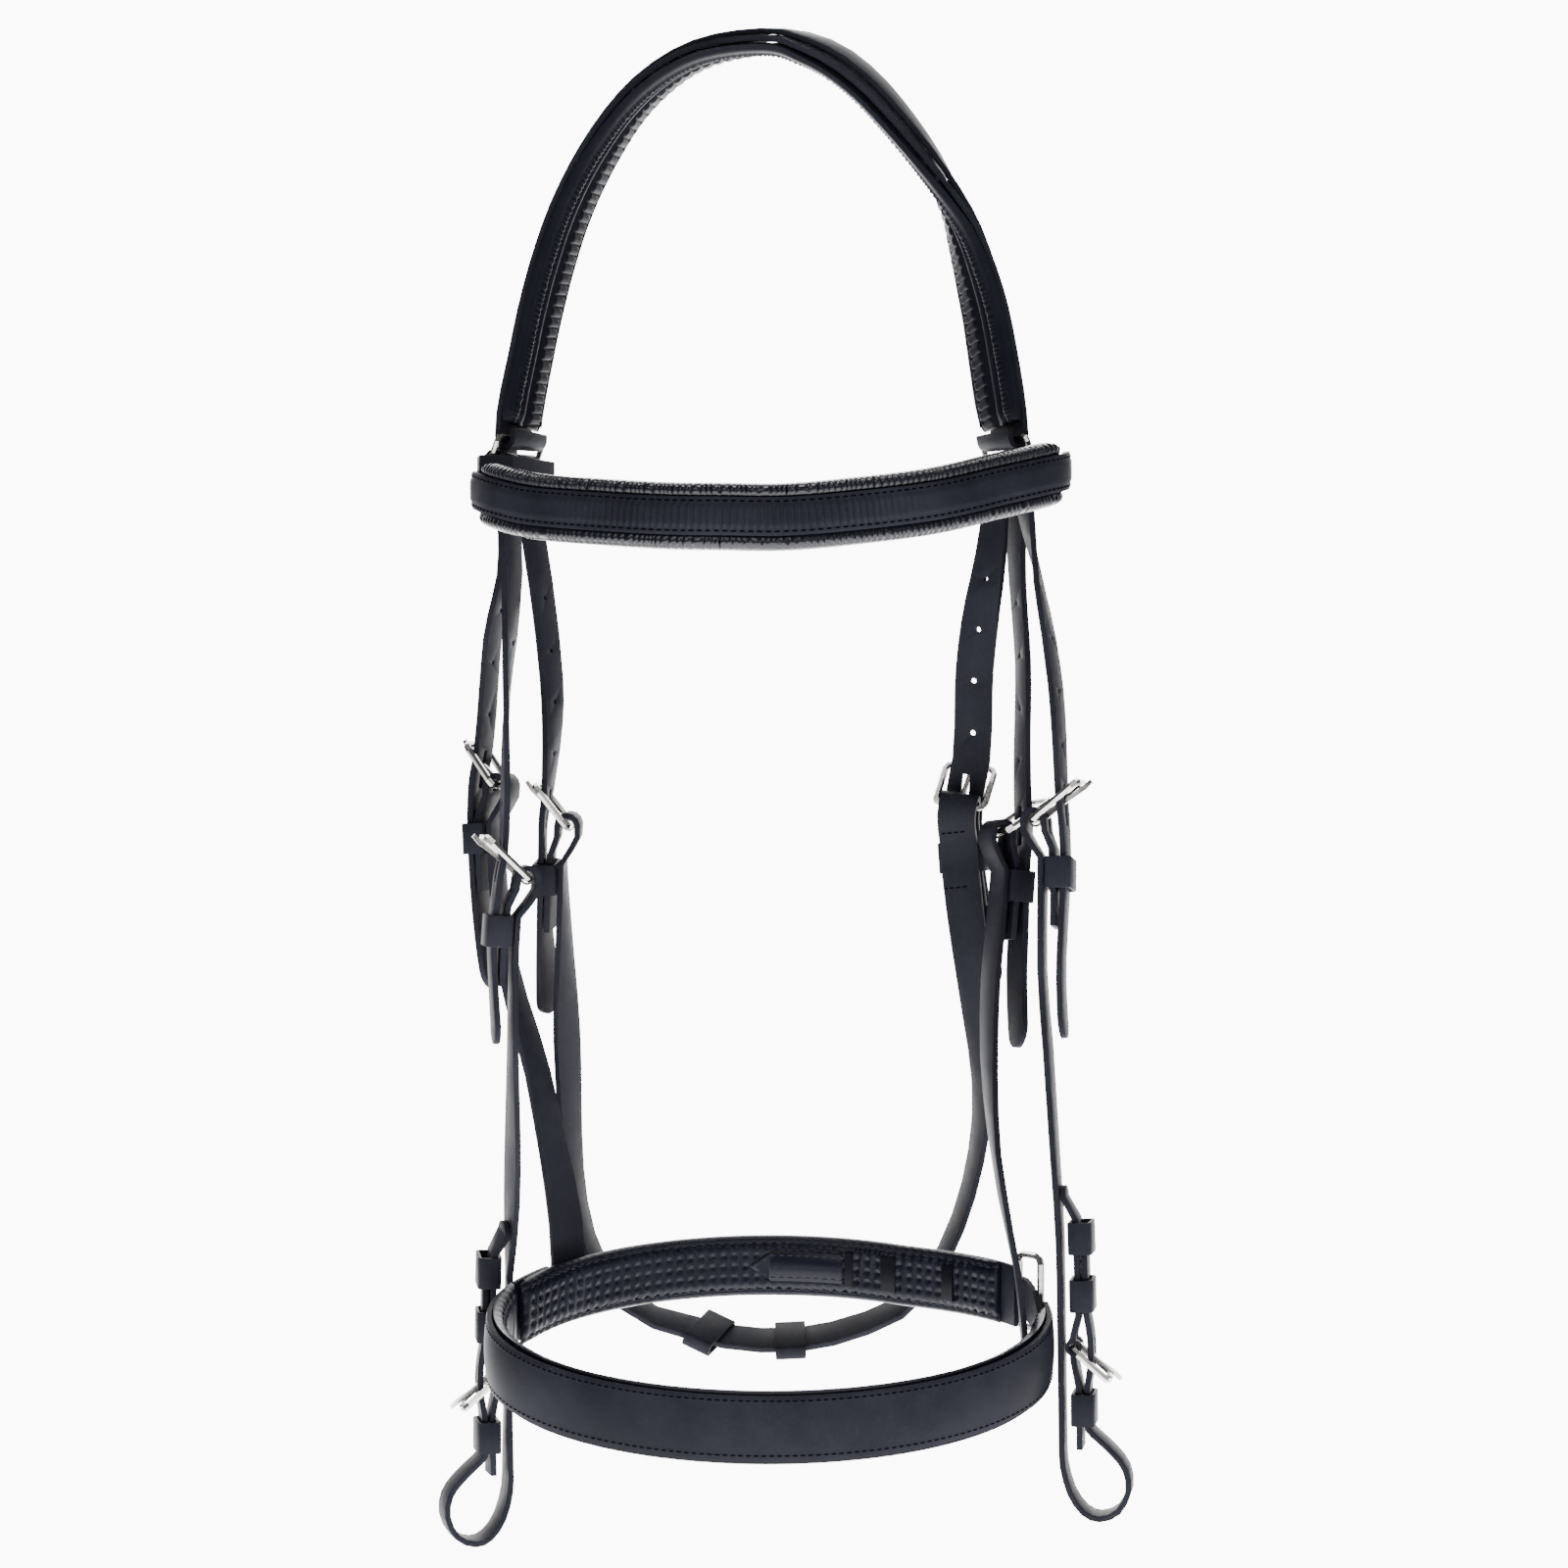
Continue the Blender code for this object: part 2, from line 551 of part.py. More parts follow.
def hanging_line(name, lane, stack, top_rows, tail_out=None):
    """An upper strap with its buckle and keeper. It gives the length along the lane of the bar."""
    drop, tail = BUCKLE_DROPS[name]
    start = lane.at_drop(drop)
    leg, out, tilt, length = stack
    upper_strap(f"{name}_strap", lane, start, tail, stack, top_rows(start), tail_out)
    buckle(name, bar_frame(lane, start, BAR_OUT, tilt), length)
    keeper(f"{name}_keeper", lane, start + KEEPER_DROP, KEEPER_INNER, out + STRAP_THICK / 2)
    return start


def knuckle_rows(lane, start):
    """The round upper end of a strap that swings on a line across it."""
    reach = start - lane.at_drop(HINGE_DROP)
    return [(reach + HALF_STRAP - back, 0.0, share) for back, share in rounded_end(HALF_STRAP)] + [(reach, 0.0, 1.0)]


def ring_fold_rows(reach, tail=RING_TAIL):
    """The end of a strap folded inwards round the ring's lower bar, reach above the buckle's bar."""
    r = RING_FOLD
    path = [(reach - tail, -STRAP_THICK - GAP), (reach - 0.65 * tail, -STRAP_THICK - GAP), (reach - 1.2 * r, -r)]
    path += [(reach + up, out) for up, out in arc(r, (0.0, 0.0), (0, 36, 72, 108, 144, 180))]
    path += [(reach - 1.2 * r, r), (reach - 0.66 * tail, 0.0)]
    return [(up, out, 1.0) for up, out in path]


def lower_strap_rows(stack):
    leg = stack[0]
    return fold_rows(BAR_OUT, leg, FOLD_END, FOLD_RADIUS)


def band(name, middle_line, half_height, inner, outer, material, rim=0.0, gather=0.0, pitch=0.0):
    """A standing band along (place, up, out) frames, between two faces, its long edges rounded."""
    rings = []
    walked = 0.0
    for i, (place, up, out) in enumerate(middle_line):
        if i:
            walked += (place - middle_line[i - 1][0]).length
        swell = gather * math.cos(2 * math.pi * walked / pitch) if pitch else 0.0
        low, high = inner - swell, outer
        middle, half = (low + high) / 2, (high - low) / 2
        corner = min(rim, 0.9 * half)
        section = [(-half_height, -half), (half_height, -half), (half_height, half), (-half_height, half)]
        if rim:
            section = [
                (-half_height + corner, -half), (half_height - corner, -half),
                (half_height - 0.3 * corner, -half + 0.3 * corner), (half_height, -half + corner),
                (half_height, half - corner), (half_height - 0.3 * corner, half - 0.3 * corner),
                (half_height - corner, half), (-half_height + corner, half),
                (-half_height + 0.3 * corner, half - 0.3 * corner), (-half_height, half - corner),
                (-half_height, -half + corner), (-half_height + 0.3 * corner, -half + 0.3 * corner)]
        rings.append([place + up * a + out * (middle + b) for a, b in section])
    return loft(name, rings, material)


def brow_line(steps):
    """Frames along the browband: place, up and outwards."""
    dense = smooth_curve(brow_shares, steps)
    places = [Vector((x * HEAD_HALF, y * HEAD_DEPTH, -z * HEAD_DROP)) for x, y, z in dense]
    made = []
    for i, place in enumerate(places):
        along = (places[min(i + 1, len(places) - 1)] - places[max(i - 1, 0)]).normalized()
        out = Vector((along.y, -along.x, 0)).normalized()
        made.append((place, out.cross(along).normalized() * -1, out))
    return made


def nose_frame(degrees, lift):
    """Place, up and outwards on the noseband's ellipse, with 0 at the front and 90 at the +X side."""
    a = math.radians(degrees)
    out = Vector((math.sin(a) * HEAD_DEPTH, -math.cos(a) * NOSE_HALF, 0)).normalized()
    flat = Vector((NOSE_HALF * math.sin(a), -HEAD_DEPTH * math.cos(a), 0))
    slope = math.tan(NOSE_TILT) * flat.y
    return flat + Vector((0, NOSE_SETBACK, slope + lift - NOSE_DROP)), Vector((0, 0, 1)), out


def no_lift(degrees):
    return 0.0


def rear_lift(degrees):
    """How far the rear band is drawn up towards its buckle."""
    share = (REAR_RISE_FROM - degrees) / (REAR_RISE_FROM - REAR_ANGLES[0])
    return REAR_RISE * max(0.0, share) ** 1.3


def nose_line(angles, count, lift=no_lift):
    """Frames along the noseband's ellipse between two angles."""
    first, last = angles
    turns = [first + (last - first) * k / count for k in range(count + 1)]
    return [nose_frame(degrees, lift(degrees)) for degrees in turns]


def crown_stations(lane, count):
    """Lengths along the crown from one ring to the other."""
    left = lane.at_drop(RING_DROP)
    right = lane.length - Lane(list(reversed(crown_shares)), -1).at_drop(RING_DROP)
    return [left + (right - left) * k / count for k in range(count + 1)]


def ring_frame(lanes, side):
    """The ring's own frame: to the rear, up and outwards, round its middle.

    Its lower bar runs through the tops of the cheek and throat lanes, and it leans inwards.
    """
    cheek, throat = lanes[f"cheek_{side}"].place(0.0), lanes[f"throat_{side}"].place(0.0)
    back = (throat - cheek).normalized()
    out = Vector((0, 0, 1)).cross(back) * (1 if side == "left" else -1)
    up = Vector((0, 0, math.cos(RING_LEAN))) - out * math.sin(RING_LEAN)
    made = Matrix((back, up, back.cross(up))).transposed().to_4x4()
    made.translation = (cheek + throat) / 2 + up * (RING_HEIGHT / 2 - RING_WIRE)
    return made


def make_rings(lanes):
    for side in ("left", "right"):
        wire_ring(f"ring_{side}", ring_frame(lanes, side), RING_WIDTH / 2 - RING_WIRE,
                  RING_HEIGHT / 2 - RING_WIRE, RING_WIRE, nickel(), 2 * RING_WIRE)


def make_crown(lane):
    """The gathered pad under the poll, and the crown leather that ends in a fold round each ring."""
    stations = crown_stations(lane, CROWN_STATIONS)
    inner, outer = CROWN_OUTER - CROWN_PAD, CROWN_OUTER
    pinch = 0.30 * CROWN_PAD
    padded = [stations[0] + 1.4 * RING_FOLD] + stations[1:-1] + [stations[-1] - 1.4 * RING_FOLD]
    rings = []
    for k, s in enumerate(padded):
        frame = lane.frame(s)
        near_end = min(s - padded[0], padded[-1] - s)
        half = CROWN_WIDTH / 2 * min(1.0, 0.9 + 0.1 * near_end / CROWN_END)
        low = inner + 0.08 * CROWN_PAD * (k % 2)
        rings.append([frame @ Vector((a, 0, b)) for a, b in (
            (-half, outer), (half, outer), (1.05 * half, outer - pinch), (half, inner + pinch),
            (0.78 * half, low), (0.40 * half, low), (0.30 * half, inner + pinch),
            (0.20 * half, low), (-0.30 * half, low - 0.1 * pinch),
            (-0.80 * half, low), (-half, inner + pinch), (-1.05 * half, outer - pinch))])
    loft("crown_pad", rings, lining())

    face = CROWN_FACE
    bar = face - RING_FOLD
    inside = face - 2 * RING_FOLD
    turn = (0, 36, 72, 108, 144, 180)
    left, right = stations[0], stations[-1]
    rows = [(-left - 0.9 * RING_FOLD, inside, 1.0)]
    rows += [(-left + RING_FOLD * math.sin(a), bar - RING_FOLD * math.cos(a), 1.0)
             for a in (math.radians(d) for d in turn)]
    rows += [(-s, face, 1.0) for s in stations[1:-1]]
    rows += [(-right - RING_FOLD * math.sin(a), bar - RING_FOLD * math.cos(a), 1.0)
             for a in (math.radians(180 - d) for d in turn)]
    rows += [(-right + 0.9 * RING_FOLD, inside, 1.0)]
    strap("crown_leather", lane, 0.0, rows, leather(), half=CROWN_LEATHER_WIDTH / 2)


def make_sliphead(lane):
    """The strap over the crown that carries the noseband, down to where its ends swing."""
    stations = crown_stations(lane, CROWN_STATIONS)
    out = CROWN_FACE + STRAP_THICK + 2 * GAP
    stop = HINGE_DROP - HALF_STRAP - SWING_GAP + SLIP_REACH
    first = lane.at_drop(stop)
    last = lane.length - Lane(list(reversed(crown_shares)), -1).at_drop(stop)
    lengths = [first, 0.5 * (first + stations[0])] + stations + [0.5 * (last + stations[-1]), last]
    rows = []
    shifts = []
    for s in lengths:
        inside = min(s - stations[0], stations[-1] - s)
        near = 1.0 - min(1.0, max(0.0, inside / SLIP_TAPER))
        rows.append((-s, out + SLIP_LIFT * near ** 3, 1.0))
        shifts.append(SLIP_BACK * near ** 2)
    strap("sliphead", lane, 0.0, rows, leather(), shifts=shifts)


def make_throat_tabs(lanes):
    """The short straps folded round the rings that the throat straps hang from."""
    for side in ("left", "right"):
        lane = lanes[f"throat_{side}"]
        stop = lane.at_drop(HINGE_DROP - HALF_STRAP - SWING_GAP)
        rows = ring_fold_rows(0.0, TAB_TAIL) + [(-stop, 0.0, 1.0)]
        strap(f"throat_tab_{side}", lane, 0.0, rows, leather())


def make_browband():
    """The curved leather band and its gathered pad, which shows as a rim above and below."""
    line = brow_line(4)
    padded = [row for row in line if row[0].y < -BROW_PAD_SETBACK]
    band("browband_pad", padded, BROW_PAD_HEIGHT / 2, -BROW_PAD - GAP, -GAP, lining(),
         rim=0.35 * BROW_PAD, gather=0.05 * BROW_PAD, pitch=STATION)
    band("browband_leather", line, BROW_HEIGHT / 2, 0.0, STRAP_THICK, leather())


def make_browband_loops(lanes):
    """The browband's ends, sewn into loops that the ring, the cheek strap and the sliphead pass through."""
    for side, outline in (("left", loop_left_shares), ("right", loop_right_shares)):
        frame = ring_frame(lanes, side)
        lower = frame @ Vector((0, RING_WIRE - RING_HEIGHT / 2, 0))
        back = frame.col[0].to_3d()
        out = Vector((0, 0, 1)).cross(back) * (1 if side == "left" else -1)
        corners = [Vector((a * LOOP_REACH, n * LOOP_REACH)) for a, n in outline]
        rings = []
        for i, corner in enumerate(corners):
            before = (corner - corners[i - 1]).normalized()
            after = (corners[(i + 1) % len(corners)] - corner).normalized()
            normal = Vector((before.y + after.y, -before.x - after.x)).normalized()
            far = corner + normal * LOOP_WALL / normal.dot(Vector((after.y, -after.x)))
            rise = LOOP_HEIGHT / 2
            rings.append([Vector((lower.x, lower.y, -LOOP_DROP)) + back * p.x + out * p.y + Vector((0, 0, z))
                          for p, z in ((corner, -rise), (far, -rise), (far, rise), (corner, rise))])
        loft(f"browband_loop_{side}", rings, leather(), closed=True)


def make_hangers(lanes, starts, loose, snug):
    for side, stack in (("left", snug), ("right", loose)):
        lane, start = lanes[f"noseband_{side}"], starts[f"noseband_{side}"]
        rows = even([(start - lane.length, 0.0, 1.0), (-0.66 * FOLD_END, 0.0, 1.0)])
        rows += lower_strap_rows(stack)
        made = strap(f"noseband_hanger_{side}", lane, start, rows, leather())
        cut_fold_slot(made, bar_frame(lane, start, BAR_OUT, stack[2]))


def make_throat_latch(lanes, starts, loose, snug):
    """One strap from buckle to buckle, hanging behind the jaw, with two loose keepers."""
    lane, start = lanes["throat_left"], starts["throat_left"]
    other = starts["throat_right"]
    total = lane.length
    far = [(start - total + other - up, out, share) for up, out, share in reversed(lower_strap_rows(loose))]
    middle = even([far[-1], (-0.66 * FOLD_END, 0.0, 1.0)])[1:]
    made = strap("throat_latch", lane, start, far + middle + lower_strap_rows(snug), leather())
    cut_fold_slot(made, bar_frame(lane, start, BAR_OUT, snug[2]))
    cut_fold_slot(made, bar_frame(lanes["throat_right"], other, BAR_OUT, loose[2]))
    for side, (share, skew, width_share) in SLIDE_SHARES.items():
        frame = lane.frame(share * total) @ Matrix.Rotation(math.radians(skew), 4, "Z")
        half = KEEPER_HALF * width_share
        box_ring(f"throat_slide_{side}", frame, half, -STRAP_THICK / 2 - KEEPER_PLAY,
                 STRAP_THICK / 2 + KEEPER_PLAY, KEEPER_WALL, KEEPER_HEIGHT, leather(), KEEPER_PLAY)


def make_cheekpiece(name, lane, start, stack, bit_drop):
    """The lower cheek strap with its fold, the empty bit loop, and the billet back up to its buckle."""
    bit = lane.at_drop(bit_drop)
    below = start - bit
    loop = smooth_curve([(u * BIT_DROP, n * BIT_BULGE) for u, n in bit_loop_shares], 2)
    billet = BIT_TAB_OUT + STRAP_THICK + 2 * GAP
    tip = [(below + BIT_KEEPERS[0] + 0.3 * KEEPER_HEIGHT - back, billet, share)
           for back, share in rounded_end(HALF_STRAP)]
    rows = tip + [(below + BIT_KEEPERS[1], billet, 1.0)] + [(below + u, n, 1.0) for u, n in reversed(loop)]
    rows += even([rows[-1], (-0.66 * FOLD_END, 0.0, 1.0)])[1:] + lower_strap_rows(stack)
    side = name.split("_")[1]
    made = strap(f"cheekpiece_{side}", lane, start, rows, leather())
    cut_fold_slot(made, bar_frame(lane, start, BAR_OUT, stack[2]))
    bar = (lane.frame(bit) @ Matrix.Translation((0, 0, BIT_BAR_OUT)) @ Matrix.Rotation(math.pi, 4, "Z")
           @ Matrix.Rotation(BIT_TILT, 4, "X"))
    cut_strap_slot(made, bar, BIT_LENGTH)

    seated = STRAP_THICK + GAP
    rows = [(BIT_TAB_UP - back, seated, share) for back, share in rounded_end(HALF_STRAP)]
    rows += [(BIT_KEEPERS[0] + 0.56 * KEEPER_HEIGHT, BIT_TAB_OUT, 1.0), (BIT_KEEPERS[1], BIT_TAB_OUT, 1.0)]
    rows += [(BIT_KEEPERS[1] - 0.6 * KEEPER_HEIGHT, BIT_TAB_OUT, 1.0), (1.4 * BIT_EYE, BIT_BAR_OUT, 1.0)]
    rows += [(0.0, BIT_BAR_OUT, 1.0), (-1.4 * BIT_EYE, BIT_BAR_OUT, 1.0)]
    rows += [(BIT_KEEPERS[2] + 0.6 * KEEPER_HEIGHT, BIT_TAB_OUT, 1.0), (-BIT_TAB_DOWN, BIT_TAB_OUT, 1.0)]
    tab = strap(f"bit_tab_{side}", lane, bit, rows, leather())
    eye = prism("eye", circle(BIT_EYE, 12), bar, HALF_STRAP - GAP, leather())
    apply_boolean(tab, eye, "UNION")
    bore = prism("bore", circle(WIRE + GAP, 12), bar, HALF_STRAP + OVERRUN, leather())
    apply_boolean(tab, bore, "DIFFERENCE")
    cut_slot(tab, bar, (-TONGUE_RING - GAP, -TONGUE_RING - GAP), (1.3 * FOLD_RADIUS, 1.6 * FOLD_RADIUS))
    buckle(f"bit_{side}", bar, BIT_LENGTH)
    outer = billet + STRAP_THICK / 2
    inner = BIT_TAB_OUT - STRAP_THICK / 2
    for number, up in enumerate(BIT_KEEPERS, 1):
        keeper(f"bit_{side}_keeper_{number}", lane, bit - up, inner, outer)


def make_noseband():
    """The padded band in front, and the rear band with its lining."""
    half = NOSE_LEATHER / 2
    band("noseband_leather", nose_line(FRONT_ANGLES, 44), NOSE_HEIGHT / 2, -half, half, leather())
    band("noseband_pad", nose_line(FRONT_PAD_ANGLES, 36), NOSE_PAD_HEIGHT / 2, -half - GAP - NOSE_PAD,
         -half - GAP, lining(), rim=0.4 * NOSE_PAD, gather=0.04 * NOSE_PAD, pitch=STATION)
    rear = -half - GAP
    band("chin_strap", nose_line(REAR_ANGLES, 30, rear_lift), NOSE_HEIGHT / 2, rear - NOSE_REAR, rear, leather())
    lined = rear - NOSE_REAR - GAP
    band("chin_pad", nose_line(REAR_PAD_ANGLES, 32, rear_lift), NOSE_HEIGHT / 2 + GAP, lined - CHIN_PAD, lined,
         lining(), rim=0.4 * CHIN_PAD, gather=0.05 * CHIN_PAD, pitch=STATION)


def make_nose_fastening():
    """The billet from inside the front band to outside the rear one, and the buckle frame that lies over it."""
    inner = -NOSE_LEATHER / 2 - GAP - STRAP_THICK / 2
    outer = -NOSE_LEATHER / 2 + STRAP_THICK / 2
    first, last = BILLET_ANGLES
    shift_first, shift_last = BILLET_SHIFT_ANGLES
    count = 26
    rings = []
    for k in range(count + 1):
        degrees = first + (last - first) * k / count
        climbed = min(1.0, (degrees - first) / (shift_last - first))
        shifted = min(1.0, max(0.0, (degrees - shift_first) / (shift_last - shift_first)))
        place, up, out = nose_frame(degrees, rear_lift(degrees) * climbed)
        middle = place + out * (inner + (outer - inner) * shifted)
        point = 1.0 - 0.75 * max(0.0, (k - count + 3) / 3)
        rise, half = up * HALF_STRAP * point, out * STRAP_THICK / 2
        rings.append([middle - rise - half, middle + rise - half, middle + rise + half, middle - rise + half])
    loft("noseband_billet", rings, leather())

    place, up, out = nose_frame(NOSE_BUCKLE_ANGLE, NOSE_BUCKLE_RISE)
    along = out.cross(up)
    frame = Matrix((up, along, out)).transposed().to_4x4()
    frame.translation = place + out * (outer + STRAP_THICK / 2 + GAP + WIRE)
    wire_ring("noseband_buckle", frame, NOSE_HEIGHT / 2 + SIDE_PLAY + WIRE, NOSE_BUCKLE_LENGTH / 2, WIRE,
              nickel(), 2 * WIRE)


def main():
    clear_scene()
    loose = (LOOSE_LEG, LOOSE_UPPER, LOOSE_TILT, LOOSE_LENGTH)
    snug = (SNUG_LEG, SNUG_UPPER, SNUG_TILT, SNUG_LENGTH)
    crown_lane = Lane(crown_shares, 1)
    lanes = {
        "noseband_left": Lane(noseband_left_shares, -1), "noseband_right": Lane(noseband_right_shares, 1),
        "cheek_left": Lane(cheek_left_shares, -1), "cheek_right": Lane(cheek_right_shares, 1),
        "throat_left": Lane(throat_shares, -1), "throat_right": Lane(list(reversed(throat_shares)), 1),
    }
    make_crown(crown_lane)
    make_rings(lanes)
    make_sliphead(crown_lane)
    make_throat_tabs(lanes)
    make_browband()
    make_browband_loops(lanes)
    starts = {}
    for name, stack, tail_out in (("noseband_left", snug, None), ("noseband_right", loose, NOSE_TAIL_OUT),
                                  ("throat_left", snug, None), ("throat_right", loose, None)):
        lane = lanes[name]
        starts[name] = hanging_line(name, lane, stack, lambda s, lane=lane: knuckle_rows(lane, s), tail_out)
    for name in ("cheek_left", "cheek_right"):
        starts[name] = hanging_line(name, lanes[name], loose, ring_fold_rows, 0.75 * LOOSE_UPPER)
    make_hangers(lanes, starts, loose, snug)
    make_throat_latch(lanes, starts, loose, snug)
    make_cheekpiece("cheek_left", lanes["cheek_left"], starts["cheek_left"], loose, BIT_DROPS["left"])
    make_cheekpiece("cheek_right", lanes["cheek_right"], starts["cheek_right"], loose, BIT_DROPS["right"])
    make_noseband()
    make_nose_fastening()


if __name__ == "__main__":
    main()
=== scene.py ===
import json
import math

import bmesh
import bpy
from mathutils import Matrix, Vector, noise

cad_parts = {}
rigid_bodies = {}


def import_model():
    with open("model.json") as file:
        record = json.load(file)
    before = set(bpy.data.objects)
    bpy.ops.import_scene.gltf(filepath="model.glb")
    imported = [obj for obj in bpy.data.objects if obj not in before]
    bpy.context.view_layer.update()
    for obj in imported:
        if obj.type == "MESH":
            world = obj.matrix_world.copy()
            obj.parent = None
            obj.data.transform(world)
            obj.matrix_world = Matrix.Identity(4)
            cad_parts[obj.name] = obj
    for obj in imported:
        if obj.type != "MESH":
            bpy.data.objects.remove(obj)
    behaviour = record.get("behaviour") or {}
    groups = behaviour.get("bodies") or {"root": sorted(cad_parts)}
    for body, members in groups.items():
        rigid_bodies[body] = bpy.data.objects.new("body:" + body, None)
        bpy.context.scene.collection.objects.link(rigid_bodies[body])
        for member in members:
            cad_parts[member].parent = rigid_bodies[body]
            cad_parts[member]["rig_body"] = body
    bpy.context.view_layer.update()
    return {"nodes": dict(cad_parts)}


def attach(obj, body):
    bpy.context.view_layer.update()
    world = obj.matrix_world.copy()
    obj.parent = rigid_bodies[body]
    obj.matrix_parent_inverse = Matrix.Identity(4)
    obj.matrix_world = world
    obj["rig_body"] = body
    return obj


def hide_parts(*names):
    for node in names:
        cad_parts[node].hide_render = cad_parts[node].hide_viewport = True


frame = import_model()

# Metres throughout. -Y is the front of the face, and the crown hangs from the origin.
head = {"half": 0.120, "depth": 0.080, "drop": 0.600}


class Wire:
    # one output socket, so that shader maths reads like ordinary maths
    def __init__(self, finish, socket):
        self.finish = finish
        self.socket = socket

    def join(self, operation, first, second):
        return self.finish.node("ShaderNodeMath", {"operation": operation}, {0: first, 1: second})

    def __add__(self, other):
        return self.join("ADD", self, other)

    def __radd__(self, other):
        return self.join("ADD", other, self)

    def __sub__(self, other):
        return self.join("SUBTRACT", self, other)

    def __rsub__(self, other):
        return self.join("SUBTRACT", other, self)

    def __mul__(self, other):
        return self.join("MULTIPLY", self, other)

    def __rmul__(self, other):
        return self.join("MULTIPLY", other, self)


class Finish:
    # a material under work; node makes any shader node, and the other methods are its common uses
    def __init__(self, name, **fixed):
        self.material = bpy.data.materials.new(name)
        self.material.use_nodes = True
        self.tree = self.material.node_tree
        self.shader = self.tree.nodes["Principled BSDF"]
        for socket, value in fixed.items():
            self.shader.inputs[socket.replace("_", " ")].default_value = value

    def node(self, kind, settings=None, values=None, out=0):
        made = self.tree.nodes.new(kind)
        for key, value in (settings or {}).items():
            if key == "stops":
                ramp = made.color_ramp
                for i, (place, grey) in enumerate(value):
                    stop = ramp.elements[i] if i < len(ramp.elements) else ramp.elements.new(place)
                    stop.position = place
                    stop.color = (grey, grey, grey, 1.0)
            else:
                setattr(made, key, value)
        for key, value in (values or {}).items():
            if isinstance(value, Wire):
                self.tree.links.new(value.socket, made.inputs[key])
            else:
                made.inputs[key].default_value = value
        return Wire(self, made.outputs[out])

    def place(self):
        return self.node("ShaderNodeTexCoord", None, None, "Object")

    def noise(self, place, scale, detail=3.0, rough=0.55):
        return self.node("ShaderNodeTexNoise", None,
                         {"Vector": place, "Scale": scale, "Detail": detail, "Roughness": rough}, "Fac")

    def blend(self, amount, dark, light):
        return self.node("ShaderNodeMix", {"data_type": "RGBA"},
                         {0: amount, 6: (*dark, 1.0), 7: (*light, 1.0)}, 2)

    def relief(self, height, depth, strength):
        return self.node("ShaderNodeBump", None, {"Height": height, "Distance": depth, "Strength": strength})

    def feed(self, **links):
        for socket, wire in links.items():
            self.tree.links.new(wire.socket, self.shader.inputs[socket.replace("_", " ")])
        return self.material


bridleLeather = {"deep": (0.0043, 0.0045, 0.0070), "rubbed": (0.0110, 0.0115, 0.0164), "rough": 0.48,
                 "gleam": 0.035, "grain": 1500.0, "pores": 900.0, "depth": 0.00010}
keeperLeather = {"deep": (0.0012, 0.0013, 0.0024), "rubbed": (0.0032, 0.0035, 0.0060), "rough": 0.40,
                 "gleam": 0.05, "grain": 1500.0, "pores": 900.0, "depth": 0.00010}
crownLeather = {"deep": (0.0018, 0.0020, 0.0034), "rubbed": (0.0052, 0.0057, 0.0092), "rough": 0.32,
                "gleam": 0.025, "crease": 260.0, "depth": 0.00012}
glossLeather = {"deep": (0.0014, 0.0017, 0.0040), "rubbed": (0.0040, 0.0046, 0.0098), "rough": 0.22,
                "gleam": 0.10, "crease": 260.0, "depth": 0.00010}
browLeather = {"deep": (0.0014, 0.0016, 0.0034), "rubbed": (0.0036, 0.0041, 0.0078), "rough": 0.18,
               "gleam": 0.24, "crease": 420.0, "depth": 0.00025}
sewingThread = {"deep": (0.0045, 0.0048, 0.0080), "light": (0.014, 0.015, 0.023), "rough": 0.60, "gleam": 0.12,
                "fibre": 5200.0, "depth": 0.00008}
darkSewing = {"deep": (0.0004, 0.0004, 0.0007), "light": (0.0018, 0.0020, 0.0034), "rough": 0.85, "gleam": 0.0,
              "fibre": 5200.0, "depth": 0.00008}
nickelPlate = {"dull": (0.17, 0.165, 0.16), "bright": (0.46, 0.44, 0.42), "rough": 0.10, "tarnish": 190.0,
               "scuff": 2600.0, "depth": 0.00003}
handRub = {"scale": 26.0, "detail": 4.0, "stops": [(0.40, 0.0), (0.68, 1.0)]}


def makeBridleLeather(name, values, gloss=0.0):
    # smooth dressed leather: fine grain, pores, and a slight rub where hands have passed
    f = Finish(name, Specular_IOR_Level=values["gleam"])
    place = f.place()
    grain = f.noise(place, values["grain"], 2.0)
    pores = f.node("ShaderNodeTexVoronoi", {"feature": "SMOOTH_F1"},
                   {"Vector": place, "Scale": values["pores"], "Smoothness": 0.6}, "Distance")
    rub = f.node("ShaderNodeValToRGB", {"stops": handRub["stops"]},
                 {0: f.noise(place, handRub["scale"], handRub["detail"])})
    height = grain * 0.45 + pores * 0.55
    return f.feed(Base_Color=f.blend(rub * 0.55 + grain * 0.25, values["deep"], values["rubbed"]),
                  Roughness=rub * 0.10 + grain * 0.10 + (values["rough"] - gloss),
                  Normal=f.relief(height, values["depth"], 0.45))


def makePadLeather(name, values):
    # soft glossy lining leather, with the small creases that gathering leaves
    f = Finish(name, Specular_IOR_Level=values["gleam"])
    place = f.place()
    crease = f.node("ShaderNodeTexNoise", {"noise_type": "RIDGED_MULTIFRACTAL"},
                    {"Vector": place, "Scale": values["crease"] * 0.5, "Detail": 3.0, "Roughness": 0.6}, "Fac")
    grain = f.noise(place, values["crease"] * 4.0, 2.0)
    patch = f.noise(place, 60.0, 3.0)
    height = crease * 0.5 + grain * 0.5
    return f.feed(Base_Color=f.blend(patch * 0.6 + crease * 0.15, values["deep"], values["rubbed"]),
                  Roughness=patch * 0.16 + values["rough"],
                  Normal=f.relief(height, values["depth"], 0.40))


